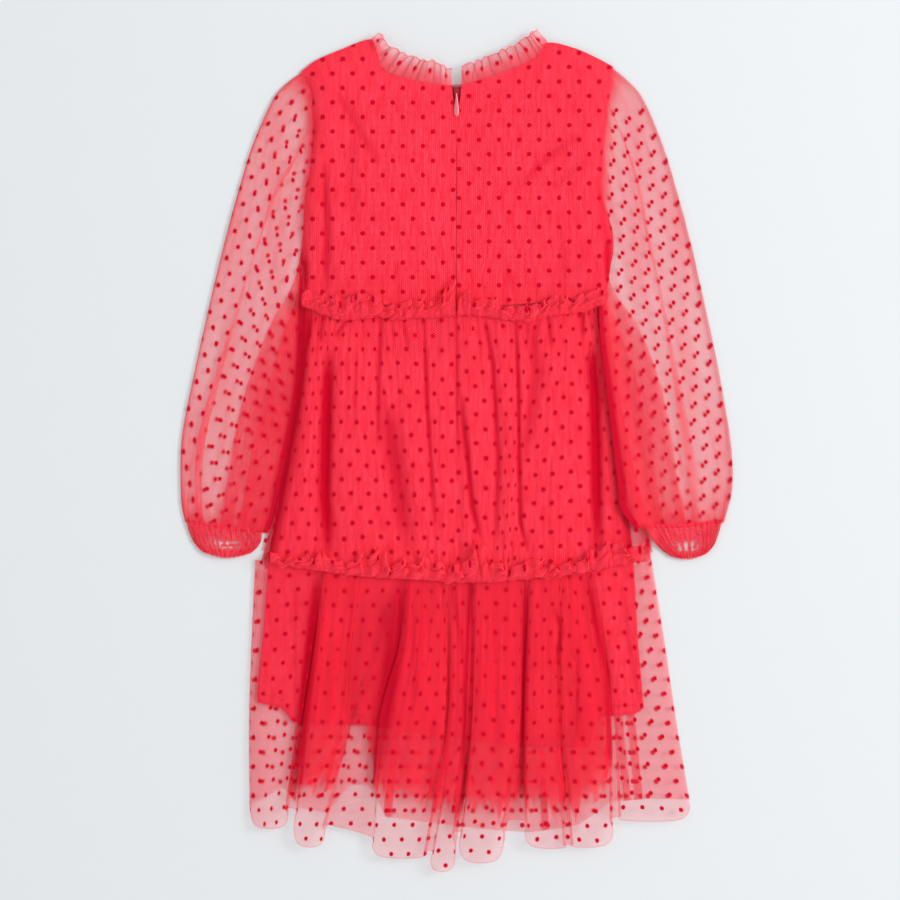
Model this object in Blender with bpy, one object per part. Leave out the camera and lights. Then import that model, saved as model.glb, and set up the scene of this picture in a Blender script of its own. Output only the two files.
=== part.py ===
"""A child's party dress of dotted tulle over a lining, laid flat with its back upwards.

Tables are in millimetres. "across" runs from the centre back to the right, "down" runs from the
top of the neck frill to the hem, and heights are above the surface that the dress lies on.
"""
from collections import namedtuple

import bmesh
import bpy
import numpy as np

MM = 0.001

# Driving sizes
LENGTH = 688.0
WALL = 1.0
BODICE_WALL = 1.4
NET_WALL = 1.4
LAYER_GAP = 0.4
SEAM_GAP = 0.5

# Undersides of the layers that lie on each other, from the surface upwards
BODICE_LINING_FRONT_Z = BODICE_WALL + LAYER_GAP
BODICE_LINING_BACK_Z = 2 * (BODICE_WALL + LAYER_GAP)
BODICE_BACK_Z = 3 * (BODICE_WALL + LAYER_GAP)
SKIRT_LINING_FRONT_Z = WALL + LAYER_GAP
SKIRT_LINING_BACK_Z = 2 * (WALL + LAYER_GAP)
UNDER_NET_Z = 3 * (WALL + LAYER_GAP)
SKIRT_BACK_Z = UNDER_NET_Z + NET_WALL + LAYER_GAP

Point = namedtuple("Point", "across down")
Fold = namedtuple("Fold", "top middle hem rise")
Flute = namedtuple("Flute", "top middle hem length rise")
Section = namedtuple("Section", "outer_across outer_down inner_across inner_down bow puff")
Crease = namedtuple("Crease", "start end width depth")

# Shoulder tip, shoulder, neck point, neck seam and centre back of each half of the back bodice
BACK_TOP_LEFT = [
    Point(-127.5, 34.4), Point(-123.0, 30.8), Point(-114.0, 24.5), Point(-93.0, 15.6),
    Point(-70.0, 8.0), Point(-66.0, 20.5), Point(-58.6, 33.6), Point(-40.6, 40.2),
    Point(-23.4, 43.5), Point(-3.7, 46.0),
]
BACK_TOP_RIGHT = [
    Point(3.7, 45.5), Point(20.9, 41.0), Point(34.9, 37.0), Point(48.8, 31.2), Point(66.8, 22.1),
    Point(75.0, 10.7), Point(98.0, 15.6), Point(115.0, 23.2), Point(123.8, 27.8),
    Point(128.3, 30.3),
]
# How far the back bodice has climbed from the shoulder seam, at each point above, 0 to 1
TOP_CLIMB_LEFT = [0.0, 0.0, 0.0, 0.0, 0.2, 0.8, 1.0, 1.0, 1.0, 1.0]
TOP_CLIMB_RIGHT = TOP_CLIMB_LEFT[::-1]

# Armhole from the shoulder tip to the underarm, then the side seam to the waist
SIDE_LEFT = [
    Point(-127.5, 34.4), Point(-122.6, 44.0), Point(-118.5, 56.0), Point(-117.8, 86.0),
    Point(-120.5, 115.0), Point(-124.2, 139.0), Point(-125.9, 172.0), Point(-126.5, 196.0),
    Point(-127.6, 222.6),
]
SIDE_RIGHT = [
    Point(128.3, 30.3), Point(127.0, 44.0), Point(125.0, 56.0), Point(120.5, 86.0),
    Point(117.7, 115.0), Point(119.5, 139.0), Point(128.5, 172.0), Point(126.0, 196.0),
    Point(122.6, 219.8),
]
UNDERARM_ROW = 6
# Half of the gap between the back bodice halves, in the rows of SIDE_LEFT: the zip's open top
ZIP_MOUTH = [3.7, 2.8, 0.3, 0.3, 0.3, 0.3, 0.3, 0.3, 0.3]
# How far the back bodice is puffed up, in the same rows, 0 to 1
BODICE_LOFT_ROWS = [0.0, 0.3, 0.7, 1.0, 1.0, 1.0, 1.0, 0.25, 0.0]
BODICE_LOFT = 1.8
BODICE_LOFT_EDGE = 12.0
ZIP_FLAT_WIDTH = 30.0
FRONT_NECK_DROP = 16.0
NECK_HALF_WIDTH = 72.0

BODICE_CREASES = [
    Crease(Point(-97.0, 53.0), Point(-64.0, 111.0), 7.0, 0.9),
    Crease(Point(-107.0, 125.0), Point(-107.0, 215.0), 5.0, 1.0),
    Crease(Point(-84.0, 75.0), Point(-84.0, 165.0), 7.0, 0.5),
    Crease(Point(99.0, 86.0), Point(52.0, 127.0), 7.0, 0.9),
    Crease(Point(112.0, 120.0), Point(116.0, 200.0), 5.0, 0.7),
]

# The two seams that run across the dress
WAIST_SEAM = [Point(-128.3, 223.0), Point(0.0, 229.0), Point(122.6, 220.0)]
TIER_SEAM = [
    Point(-166.0, 434.0), Point(-110.0, 441.0), Point(-50.0, 447.0), Point(10.0, 446.0),
    Point(60.0, 443.0), Point(118.0, 434.0), Point(162.0, 428.0),
]

# First tier: a row for each edge, valley or crest, from the left side to the right side
TIER1_LEFT_FOLDS = [
    Fold(-127.5, -137.0, -160.0, 0.0), Fold(-118.5, -131.5, -150.0, 0.0),
    Fold(-110.0, -119.0, -129.0, 2.6), Fold(-100.5, -106.0, -105.4, 0.0),
    Fold(-81.6, -81.6, -75.0, 4.0), Fold(-61.0, -52.0, -39.8, 0.4),
    Fold(-43.0, -36.5, -30.0, 3.2), Fold(-26.6, -22.0, -18.5, 0.8),
    Fold(-12.0, -11.0, -10.0, 2.4), Fold(-0.3, -0.3, -0.3, 0.6),
]
TIER1_RIGHT_FOLDS = [
    Fold(0.3, 0.3, 0.3, 0.6), Fold(10.0, 12.0, 10.0, 2.6), Fold(22.5, 32.0, 28.0, 0.4),
    Fold(48.0, 45.5, 40.0, 3.6), Fold(71.8, 58.5, 51.3, 0.4), Fold(91.4, 86.5, 84.9, 4.0),
    Fold(107.0, 112.0, 112.7, 0.0), Fold(114.5, 126.0, 136.0, 0.6),
    Fold(122.6, 138.0, 161.0, 0.0),
]
# How far a point between two folds is rounded up towards the higher of them
FOLD_ROUNDING = 0.35
TIER1_ROWS = [0.0, 0.06, 0.22, 0.42, 0.62, 0.82, 0.95, 1.0]
TIER1_FOLD_ROWS = [0.0, 0.0, 0.8, 1.0, 1.0, 1.0, 0.3, 0.0]

# Second tier: a row for each edge, valley or crest, with its length down to the hem
TIER2_FLUTES = [
    Flute(-165.0, -169.0, -169.5, 631.0, 0.0), Flute(-137.0, -145.0, -153.0, 653.0, 4.0),
    Flute(-110.3, -121.8, -136.5, 636.0, 0.0), Flute(-77.5, -91.4, -118.5, 669.0, 6.0),
    Flute(-54.5, -70.0, -101.0, 649.0, 2.4), Flute(-43.0, -56.0, -71.0, 660.0, 0.0),
    Flute(-30.0, -38.0, -46.0, 676.0, 6.0), Flute(-6.0, -9.0, -22.0, 680.0, 2.2),
    Flute(3.7, 2.5, -9.4, 688.0, 6.0), Flute(19.3, 11.0, -0.6, 655.0, 0.0),
    Flute(38.0, 33.0, 21.0, 681.0, 6.4), Flute(57.8, 54.5, 47.5, 647.0, 0.0),
    Flute(75.0, 76.7, 72.6, 670.0, 6.0), Flute(84.9, 85.5, 90.0, 668.0, 3.6),
    Flute(94.7, 99.0, 110.0, 669.0, 5.4), Flute(109.5, 121.8, 129.6, 646.0, 0.0),
    Flute(130.0, 146.0, 158.0, 645.0, 3.6), Flute(159.5, 177.6, 191.5, 636.0, 0.0),
]
# Where a flute has columns between its valley (0) and its crest (1), and how full its curve is
FLUTE_STEPS = [0.0, 0.1, 0.4]
HEM_ROUNDNESS = 6.0
RISE_ROUNDNESS = 2.4
TIER2_ROWS = [0.0, 0.05, 0.16, 0.36, 0.58, 0.8, 1.0]
TIER2_FOLD_ROWS = [0.0, 0.15, 0.7, 1.0, 1.1, 1.2, 1.25]
# The fronts of the tiers are flat, with a few rows and columns
TIER1_FRONT_ROWS = [0.0, 0.25, 0.5, 0.75, 1.0]
TIER1_FRONT_COLUMNS = 9
TIER2_FRONT_ROWS = [0.0, 0.3, 0.6, 0.8, 1.0]
# Hem of the front of the second tier, seen through the back
TIER2_FRONT_HEM = [
    Point(-168.5, 635.0), Point(-142.0, 621.0), Point(-128.0, 638.0), Point(-105.0, 642.0),
    Point(-88.0, 619.0), Point(-71.0, 619.0), Point(-58.0, 645.0), Point(-20.0, 650.0),
    Point(20.0, 655.0), Point(60.0, 658.0), Point(100.0, 652.0), Point(126.0, 633.0),
    Point(160.0, 630.0), Point(190.5, 631.0),
]

# A side of the back of the skirt comes down onto the front: distance inwards and underside
SKIRT_SIDE_SLOPE = [(0.0, WALL + LAYER_GAP), (4.5, 4.4), (10.0, SKIRT_BACK_Z)]
BODICE_SIDE_SLOPE = [(0.0, BODICE_WALL + LAYER_GAP), (4.5, 4.7), (9.0, BODICE_BACK_Z)]

LINING_LEFT = [
    Point(-120.0, 232.0), Point(-129.5, 330.0), Point(-151.0, 434.0), Point(-158.0, 500.0),
    Point(-163.5, 551.0),
]
LINING_RIGHT = [
    Point(114.5, 230.0), Point(129.0, 330.0), Point(144.7, 434.0), Point(148.8, 508.0),
    Point(153.0, 556.0),
]
LINING_HEM = [
    Point(-163.5, 551.0), Point(-142.0, 556.0), Point(-135.0, 567.0), Point(-75.0, 570.0),
    Point(-20.0, 578.0), Point(50.0, 588.0), Point(108.0, 588.0), Point(116.0, 563.0),
    Point(146.0, 561.0), Point(153.0, 556.0),
]
LINING_ROWS = [0.0, 0.3, 0.6, 0.8, 1.0]
LINING_SIDE_INSET = 10.5
# Upper edge of the bodice lining: in from the shoulder, just inside the neck seam
LINING_TOP_LEFT = [
    Point(-115.0, 49.0), Point(-103.0, 36.0), Point(-88.0, 28.0), Point(-77.0, 25.0),
    Point(-71.0, 34.0), Point(-60.0, 45.0), Point(-40.6, 42.0), Point(-23.4, 45.0),
    Point(-6.0, 47.5),
]
LINING_TOP_RIGHT = [
    Point(6.0, 47.0), Point(20.9, 42.5), Point(34.9, 38.5), Point(47.0, 36.0), Point(60.0, 38.0),
    Point(74.0, 33.0), Point(81.0, 25.0), Point(92.0, 28.0), Point(106.0, 36.0),
    Point(117.5, 45.0),
]

# Uneven lower edge of the gathered petticoat net
UNDER_NET_HEM = [
    Point(-131.0, 620.0), Point(-112.0, 624.0), Point(-98.0, 619.0), Point(-93.0, 584.0),
    Point(-90.0, 572.0), Point(-72.0, 572.0), Point(-69.0, 627.0), Point(-48.0, 628.0),
    Point(-19.0, 643.0), Point(-8.0, 635.0), Point(0.0, 653.0), Point(12.0, 640.0),
    Point(33.0, 656.0), Point(50.0, 640.0), Point(82.0, 650.0), Point(92.0, 638.0),
    Point(100.0, 646.0), Point(112.0, 634.0), Point(125.0, 604.0),
]
UNDER_NET_TOP_LEFT = -128.0
UNDER_NET_TOP_RIGHT = 122.0
UNDER_NET_ROWS = [0.0, 0.5, 0.8, 1.0]

# Sleeves, a row for each section from the armhole to the elastic
SLEEVE_LEFT = [
    Section(-128.3, 35.0, -126.9, 172.5, 0.0, 0.3), Section(-148.0, 55.0, -128.0, 190.0, 7.0, 1.2),
    Section(-166.0, 94.0, -129.0, 213.0, 4.0, 1.8), Section(-178.4, 134.0, -130.5, 240.0, 2.0, 2.0),
    Section(-191.5, 183.0, -132.0, 268.0, 0.0, 2.0), Section(-203.0, 232.0, -135.0, 299.0, 0.0, 2.0),
    Section(-214.4, 283.0, -142.5, 339.0, -1.0, 2.0), Section(-224.4, 336.0, -149.0, 372.0, -3.0, 2.0),
    Section(-225.0, 383.0, -154.0, 396.0, -3.0, 1.4), Section(-221.8, 403.5, -159.5, 412.0, -2.0, 0.4),
]
SLEEVE_RIGHT = [
    Section(129.0, 31.0, 129.6, 172.5, 0.0, 0.3), Section(150.5, 55.0, 130.4, 190.0, 3.0, 1.2),
    Section(167.7, 94.0, 128.4, 213.0, 2.0, 1.8), Section(180.0, 134.0, 127.5, 240.0, 2.0, 2.0),
    Section(193.0, 183.0, 129.8, 268.0, 0.0, 2.0), Section(203.8, 232.0, 132.4, 303.0, 0.0, 2.0),
    Section(214.4, 283.0, 136.5, 344.0, -1.0, 2.0), Section(223.6, 338.0, 138.5, 374.0, -3.0, 2.0),
    Section(225.0, 375.0, 140.5, 391.0, -3.0, 1.4), Section(218.5, 404.0, 151.0, 408.5, -2.0, 0.4),
]
# Folds of the extra cloth on a sleeve: place from its outer (0) to its inner edge (1), and rise
SLEEVE_FOLDS = [
    (0.0, 0.0), (0.1, 0.5), (0.2, 0.1), (0.3, 0.6), (0.4, 0.1), (0.48, 0.6), (0.55, 0.0),
    (0.62, 0.9), (0.69, 0.2), (0.77, 1.2), (0.85, 0.2), (0.93, 0.9), (1.0, 0.0),
]
# Elastic ends: the band and its small frill
CUFF_LEFT = [
    Section(-221.4, 404.2, -160.0, 412.8, -2.0, 0.4), Section(-219.5, 412.0, -160.0, 419.5, -3.0, 0.2),
    Section(-214.5, 421.0, -164.0, 425.0, -4.0, 0.2), Section(-208.0, 427.0, -170.0, 428.5, -5.0, 0.8),
]
CUFF_RIGHT = [
    Section(218.0, 404.8, 151.6, 409.3, -2.0, 0.4), Section(214.8, 414.0, 160.0, 419.5, -3.0, 0.2),
    Section(210.6, 423.0, 169.0, 427.0, -4.0, 0.2), Section(204.5, 428.5, 176.0, 430.5, -4.0, 0.8),
]
CUFF_GATHERS = 8
CUFF_GATHER_RISE = 0.9
SLEEVE_HOLLOW = 0.4
# Clearance of a sleeve over the side of the skirt: distance inside the skirt's edge and underside
SKIRT_COVER = [(-5.0, 0.0), (0.0, 3.2), (4.5, 6.4), (10.0, 8.2), (20.0, 9.0)]
SKIRT_COVER_LEAD = 2.0

# Neck frill: its outer edge on each half of the back
NECK_FRILL_EDGE_LEFT = [
    Point(-64.0, 3.0), Point(-61.0, 6.0), Point(-54.5, 14.0), Point(-41.4, 20.5),
    Point(-29.9, 24.6), Point(-17.6, 27.0), Point(-3.9, 33.5),
]
NECK_FRILL_EDGE_RIGHT = [
    Point(3.9, 30.5), Point(16.8, 26.2), Point(22.5, 23.8), Point(38.1, 17.2), Point(48.8, 12.3),
    Point(60.0, 4.0), Point(66.0, 0.0),
]
# Rows from the seam (0) to the outer edge (1) and how far each of them waves
NECK_FRILL_ROWS = [0.0, 0.5, 1.0]
NECK_FRILL_WAVE_ROWS = [0.25, 0.7, 1.2]
NECK_FRILL_LIFT = 0.6
NECK_WAVES = 9
NECK_WAVE_RISE = 1.6
NECK_EDGE_RIPPLE = 1.0
FRONT_FRILL_WIDTH = 13.0
FRONT_FRILL_END_WIDTH = 1.0
FRONT_FRILL_WAVES = 10

# Upper edge of the frills that stand above the two seams, a row for each turn of the frill
WAIST_FRILL_LEFT = [
    Point(-126.7, 214.0), Point(-116.0, 213.5), Point(-111.0, 217.5), Point(-105.4, 215.5),
    Point(-91.4, 217.5), Point(-82.4, 214.0), Point(-64.0, 214.8), Point(-60.3, 224.0),
    Point(-53.7, 224.5), Point(-38.1, 220.6), Point(-29.1, 219.0), Point(-18.5, 223.5),
    Point(-14.5, 219.0), Point(-8.6, 210.7), Point(-0.6, 202.0),
]
WAIST_FRILL_RIGHT = [
    Point(0.8, 222.0), Point(7.8, 209.0), Point(14.4, 220.6), Point(25.0, 217.5),
    Point(31.6, 219.8), Point(40.5, 227.0), Point(55.4, 224.5), Point(66.0, 222.0),
    Point(72.6, 221.0), Point(82.4, 215.0), Point(93.9, 221.0), Point(110.3, 212.4),
    Point(121.6, 210.7),
]
TIER2_FRILL = [
    Point(-152.5, 424.0), Point(-150.0, 429.0), Point(-144.7, 433.0), Point(-131.6, 431.3),
    Point(-124.2, 429.0), Point(-116.9, 430.0), Point(-107.8, 424.0), Point(-103.7, 429.0),
    Point(-99.6, 436.0), Point(-84.9, 434.0), Point(-80.8, 429.7), Point(-75.0, 432.0),
    Point(-66.0, 424.0), Point(-58.6, 425.6), Point(-55.6, 437.0), Point(-45.0, 433.0),
    Point(-32.4, 436.0), Point(-28.3, 429.7), Point(-22.0, 430.0), Point(-12.7, 437.0),
    Point(-1.2, 436.0), Point(9.0, 430.5), Point(13.5, 416.6), Point(19.8, 419.0),
    Point(23.6, 430.0), Point(33.2, 434.6), Point(38.1, 438.5), Point(48.8, 436.0),
    Point(64.4, 430.0), Point(73.4, 437.5), Point(98.0, 434.0), Point(104.6, 429.5),
    Point(111.1, 421.5), Point(117.7, 422.3), Point(126.7, 418.0), Point(132.4, 417.4),
    Point(135.0, 423.0), Point(143.0, 421.0), Point(148.5, 418.5),
]
FRILL_HEADING = 20.0
FRILL_CREST = 4.4
FRILL_CURL = 1.0
FRILL_LIFT = 0.6
FRILL_ROUNDNESS = 0.8
FRILL_BELOW_SEAM = 7.0
FRILL_FOOT_WAVE = 0.8
FRILL_SEAM_Z = 7.7
FRILL_LOWER_Z = 8.3
FRONT_BAND_HALF = 7.0
FRONT_BAND_GAP = 0.9
FRONT_BAND_COLUMNS = 13

# Zip
ZIP_TAPE_HALF = 5.5
ZIP_TAPE_TOP = 47.5
ZIP_TAPE_END = 324.0
ZIP_TAPE_STEP_DOWN = [217.0, 231.0]
ZIP_TAPE_SKIRT_Z = 4.2
LINING_ZIP_GAP = 6.0
SLIDER_TOP = 48.6
SLIDER_END = 54.6
SLIDER_TOP_HALF = 2.1
SLIDER_END_HALF = 1.7
SLIDER_UNDER_Z = 4.9
SLIDER_DECK_Z = 7.0
EAR_INNER = 1.1
EAR_OUTER = 1.7
EAR_HALF_LENGTH = 0.8
EAR_TOP_Z = 8.6
EAR_SUNK = 0.6
PULL_AXIS_DOWN = 53.2
PULL_AXIS_Z = 8.0
PULL_THICK = 1.0
PULL_LENGTH = 19.0
PULL_TAIL = 0.5
# Half width of the pull at fractions of its length
PULL_SHAPE = [(0.0, 0.8), (0.14, 0.8), (0.3, 1.5), (0.55, 2.3), (0.8, 2.6), (0.93, 2.0), (1.0, 0.9)]

# Colours, roughness and metallic value
TULLE = ("dotted_tulle", (0.88, 0.05, 0.08), 0.75, 0.0)
SHEER = ("sheer_tulle", (0.93, 0.26, 0.31), 0.7, 0.0)
LINING = ("lining", (0.82, 0.03, 0.06), 0.8, 0.0)
NET = ("petticoat_net", (0.85, 0.04, 0.07), 0.8, 0.0)
ZIP_CLOTH = ("zip_tape", (0.5, 0.01, 0.02), 0.8, 0.0)
ZIP_PAINT = ("zip_paint", (0.7, 0.12, 0.14), 0.35, 0.6)


def clear_scene():
    """Remove every object that the file holds."""
    for thing in list(bpy.data.objects):
        bpy.data.objects.remove(thing, do_unlink=True)


def material(finish):
    """A Principled material from a name, colour, roughness and metallic value."""
    name, colour, roughness, metallic = finish
    made = bpy.data.materials.get(name) or bpy.data.materials.new(name)
    made.use_nodes = True
    shader = made.node_tree.nodes["Principled BSDF"]
    shader.inputs["Base Color"].default_value = (*colour, 1.0)
    shader.inputs["Roughness"].default_value = roughness
    shader.inputs["Metallic"].default_value = metallic
    return made


def add_object(name, points, faces, finish, origin=(0.0, 0.0, 0.0)):
    """A closed solid from points in millimetres, its faces turned outwards, about its origin."""
    mesh = bpy.data.meshes.new(name)
    mesh.from_pydata(((points - np.array(origin)) * MM).tolist(), [], faces)
    edit = bmesh.new()
    edit.from_mesh(mesh)
    bmesh.ops.recalc_face_normals(edit, faces=edit.faces)
    edit.to_mesh(mesh)
    edit.free()
    mesh.materials.append(material(finish))
    solid = bpy.data.objects.new(name, mesh)
    solid.location = (np.array(origin) * MM).tolist()
    bpy.context.scene.collection.objects.link(solid)
    return solid


def place(across, down, height):
    """Points of the object's frame from table values: +Y is towards the neck."""
    across, down, height = np.broadcast_arrays(across, down, height)
    return np.stack([across, LENGTH / 2 - down, height], axis=-1)


def grid_faces(rows, columns, first=0):
    """Two triangles for each cell of a grid of points that starts at index first."""
    faces = []
    for row in range(rows - 1):
        for column in range(columns - 1):
            a = first + row * columns + column
            b = a + columns
            faces += [(a, b, b + 1), (a, b + 1, a + 1)]
    return faces


def slab(name, across, down, under, thick, finish, origin=(0.0, 0.0, 0.0)):
    """A sheet of cloth: a grid of rows and columns with an underside and a thickness."""
    across, down, under = np.broadcast_arrays(across, down, under)
    rows, columns = across.shape
    count = rows * columns
    bottom = place(across, down, under).reshape(-1, 3)
    top = place(across, down, under + thick).reshape(-1, 3)
    faces = grid_faces(rows, columns) + grid_faces(rows, columns, count)
    left = [row * columns for row in range(rows)]
    foot = [(rows - 1) * columns + column for column in range(1, columns)]
    right = [row * columns + columns - 1 for row in range(rows - 2, -1, -1)]
    head = list(range(columns - 2, 0, -1))
    ring = left + foot + right + head
    for a, b in zip(ring, ring[1:] + ring[:1]):
        faces += [(a, b, b + count), (a, b + count, a + count)]
    return add_object(name, np.concatenate([bottom, top]), faces, finish, origin)


def line(points, across):
    """The down value of a line through a table of points, at places across."""
    table = np.array(points)
    return np.interp(across, table[:, 0], table[:, 1])


def between(start, end, share):
    """A value part of the way from start to end."""
    return start + (end - start) * share


def parabola(start, middle, end, share):
    """A smooth line through three values at shares 0, 0.5 and 1."""
    return (start * (1 - share) * (1 - 2 * share) + middle * 4 * share * (1 - share)
            + end * share * (2 * share - 1))


def along(points, shares):
    """Points at shares of the length of a line through a table of points."""
    table = np.array(points)
    steps = np.hypot(*np.diff(table, axis=0).T)
    run = np.concatenate([[0.0], np.cumsum(steps)]) / steps.sum()
    return np.interp(shares, run, table[:, 0]), np.interp(shares, run, table[:, 1])


def slope(table, inwards):
    """Underside at a distance inwards from a side, from a table of distance and underside."""
    distance, height = np.array(table).T
    return np.interp(inwards, distance, height)


def crease_depth(across, down, creases):
    """How deep the creases are at each point: a soft trough along a line, fading at its ends."""
    depth = np.zeros(np.broadcast(across, down).shape)
    for crease in creases:
        start = np.array(crease.start)
        run = np.array(crease.end) - start
        share = ((across - start[0]) * run[0] + (down - start[1]) * run[1]) / (run @ run)
        near = np.clip(share, 0.0, 1.0)
        off = np.hypot(across - start[0] - near * run[0], down - start[1] - near * run[1])
        depth = np.maximum(depth, crease.depth * np.exp(-(off / crease.width) ** 2))
    return np.minimum(depth, 1.0)


def bodice_rows(side, foot):
    """Shares of a bodice column's length, in the rows of the armhole and side table."""
    down = np.array(side)[:, 1]
    return np.clip((down - down[0]) / (foot - down[0]), 0.0, 1.0)


def back_half_grid(top, side, mouth):
    """Across and down of a half of the back: columns from its top line, rows from its side."""
    top, side = np.array(top), np.array(side)
    sign = np.sign(side[0, 0])
    centre = sign * np.array(mouth)[:, None]
    part = (top[:, 0] - sign * mouth[0]) / (side[0, 0] - sign * mouth[0])
    across = between(centre, side[:, :1], part)
    foot = line(WAIST_SEAM, across[-1]) - SEAM_GAP / 2
    shares = bodice_rows(side, line(WAIST_SEAM, side[-1, 0]) - SEAM_GAP / 2)
    down = between(top[:, 1], foot, shares[:, None])
    inwards = np.abs(side[:, :1] - across)
    return across, down, inwards


def back_bodice(name, top, side, climb):
    """One half of the dotted back bodice, puffed up, with its creases and lowered side."""
    across, down, inwards = back_half_grid(top, side, ZIP_MOUTH)
    under = slope(BODICE_SIDE_SLOPE, inwards)
    low = BODICE_SIDE_SLOPE[0][1]
    under[0] = low + (under[0] - low) * np.array(climb)
    loft = BODICE_LOFT * np.array(BODICE_LOFT_ROWS)[:, None]
    loft = loft * np.clip(inwards / BODICE_LOFT_EDGE, 0.0, 1.0)
    loft = loft * np.clip(np.abs(across) / ZIP_FLAT_WIDTH, 0.0, 1.0)
    under = under + loft * (1.0 - crease_depth(across, down, BODICE_CREASES))
    return slab(name, across, down, under, BODICE_WALL, TULLE)


def lining_side(side):
    """The side of the bodice lining: inside the armhole and side seam of the dress."""
    return [Point(p.across - np.sign(p.across) * LINING_SIDE_INSET, p.down) for p in side]


def back_lining(name, top, side):
    """One half of the back bodice's lining, in from the side, the shoulder and the zip."""
    across, down, _ = back_half_grid(top, lining_side(side), [LINING_ZIP_GAP] * len(side))
    return slab(name, across, down, BODICE_LINING_BACK_Z, BODICE_WALL, LINING)


def front_neck(across, down):
    """The front neckline: the back's, lower in the middle."""
    share = np.clip(np.abs(across) / NECK_HALF_WIDTH, 0.0, 1.0)
    return down + FRONT_NECK_DROP * (1 - share ** 2)


def front_grid(top_left, top_right, side_left, side_right, foot_rise):
    """Across and down of the whole front bodice, from both halves' top lines and sides."""
    top = np.array(top_left[:-1] + top_right[1:])
    left, right = np.array(side_left), np.array(side_right)
    part = (top[:, 0] - top[0, 0]) / (top[-1, 0] - top[0, 0])
    across = between(left[:, :1], right[:, :1], part)
    foot = line(WAIST_SEAM, across[-1]) - foot_rise
    left_shares = bodice_rows(left, foot[0])[:, None]
    right_shares = bodice_rows(right, foot[-1])[:, None]
    head = front_neck(top[:, 0], top[:, 1])
    return across, between(head, foot, between(left_shares, right_shares, part))


def front_bodice():
    """The dotted front, which the dress lies on, and its lining."""
    across, down = front_grid(BACK_TOP_LEFT, BACK_TOP_RIGHT, SIDE_LEFT, SIDE_RIGHT,
                              FRONT_BAND_HALF + FRONT_BAND_GAP)
    slab("bodice_front", across, down, 0.0, BODICE_WALL, TULLE)
    across, down = front_grid(LINING_TOP_LEFT, LINING_TOP_RIGHT, lining_side(SIDE_LEFT),
                              lining_side(SIDE_RIGHT), SEAM_GAP / 2)
    slab("bodice_front_lining", across, down, BODICE_LINING_FRONT_Z, BODICE_WALL, LINING)


def neck_frill(name, seam, edge):
    """A gathered frill that stands on the neck seam: waves that grow towards its outer edge."""
    shares = np.linspace(0.0, 1.0, 4 * NECK_WAVES + 1)
    seam_across, seam_down = along(seam, shares)
    edge_across, edge_down = along(edge, shares)
    wave = np.sin(2 * np.pi * NECK_WAVES * shares)
    edge_down = edge_down + NECK_EDGE_RIPPLE * (1 - np.cos(4 * np.pi * NECK_WAVES * shares)) / 2
    out = np.array(NECK_FRILL_ROWS)[:, None]
    across = between(seam_across, edge_across, out)
    down = between(seam_down - SEAM_GAP, edge_down, out)
    waving = np.array(NECK_FRILL_WAVE_ROWS)[:, None] * wave
    under = BODICE_BACK_Z + NECK_WAVE_RISE * waving + NECK_FRILL_LIFT * out
    slab(name, across[::-1], down[::-1], under[::-1], WALL, SHEER)


def front_neck_frill():
    """The frill of the front neck, hidden under the back, narrowing to the shoulders."""
    top = BACK_TOP_LEFT[5:-1] + BACK_TOP_RIGHT[1:5]
    seam = [Point(p.across, front_neck(p.across, p.down) - SEAM_GAP) for p in top]
    shares = np.linspace(0.0, 1.0, 4 * FRONT_FRILL_WAVES + 1)
    across, down = along(seam, shares)
    width = FRONT_FRILL_WIDTH * (1 - (across / NECK_HALF_WIDTH) ** 2) + FRONT_FRILL_END_WIDTH
    out = np.array([1.0, 0.5, 0.0])[:, None]
    wave = (1 - np.cos(2 * np.pi * FRONT_FRILL_WAVES * shares)) / 2
    slab("neck_frill_front", across, down - width * out, wave * out, WALL, SHEER)


def fold_columns(folds, shares):
    """Across and rise of the first tier's columns: each fold and a point between neighbours."""
    table = np.array(folds)
    across = parabola(table[:, 0], table[:, 1], table[:, 2], np.array(shares)[:, None])
    count = 2 * len(folds) - 1
    places = np.arange(len(folds))
    wanted = np.arange(count) / 2.0
    across = np.array([np.interp(wanted, places, row) for row in across])
    rise = np.interp(wanted, places, table[:, 3])
    between_folds = np.arange(count) % 2 == 1
    high = np.maximum(table[:-1, 3], table[1:, 3])
    rise[between_folds] = between(rise[between_folds], high, FOLD_ROUNDING)
    return across, rise


def first_tier_back(name, folds, side):
    """One half of the back of the first tier, its folds flat at both seams."""
    shares = np.array(TIER1_ROWS)[:, None]
    across, rise = fold_columns(folds, TIER1_ROWS)
    head = line(WAIST_SEAM, across[0]) + SEAM_GAP / 2
    foot = line(TIER_SEAM, across[-1]) - SEAM_GAP / 2
    down = between(head, foot, shares)
    edge = across[:, :1] if side < 0 else across[:, -1:]
    under = slope(SKIRT_SIDE_SLOPE, np.abs(across - edge))
    under = under + np.array(TIER1_FOLD_ROWS)[:, None] * rise
    return slab(name, across, down, under, WALL, TULLE)


def first_tier_front():
    """The front of the first tier, flat on the surface."""
    shares = np.array(TIER1_FRONT_ROWS)[:, None]
    left, right = TIER1_LEFT_FOLDS[0], TIER1_RIGHT_FOLDS[-1]
    left_across = parabola(left.top, left.middle, left.hem, shares)
    right_across = parabola(right.top, right.middle, right.hem, shares)
    across = between(left_across, right_across, np.linspace(0.0, 1.0, TIER1_FRONT_COLUMNS))
    head = line(WAIST_SEAM, across[0]) + FRONT_BAND_HALF + FRONT_BAND_GAP
    foot = line(TIER_SEAM, across[-1]) - FRONT_BAND_HALF - FRONT_BAND_GAP
    slab("tier1_front", across, between(head, foot, shares), 0.0, WALL, TULLE)


def lobe(start, end, share, grows, roundness):
    """A round lobe between two values: steep at a valley, flat at a crest."""
    bent = 1 - (1 - share) ** roundness if grows else share ** roundness
    return between(start, end, bent)


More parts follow.
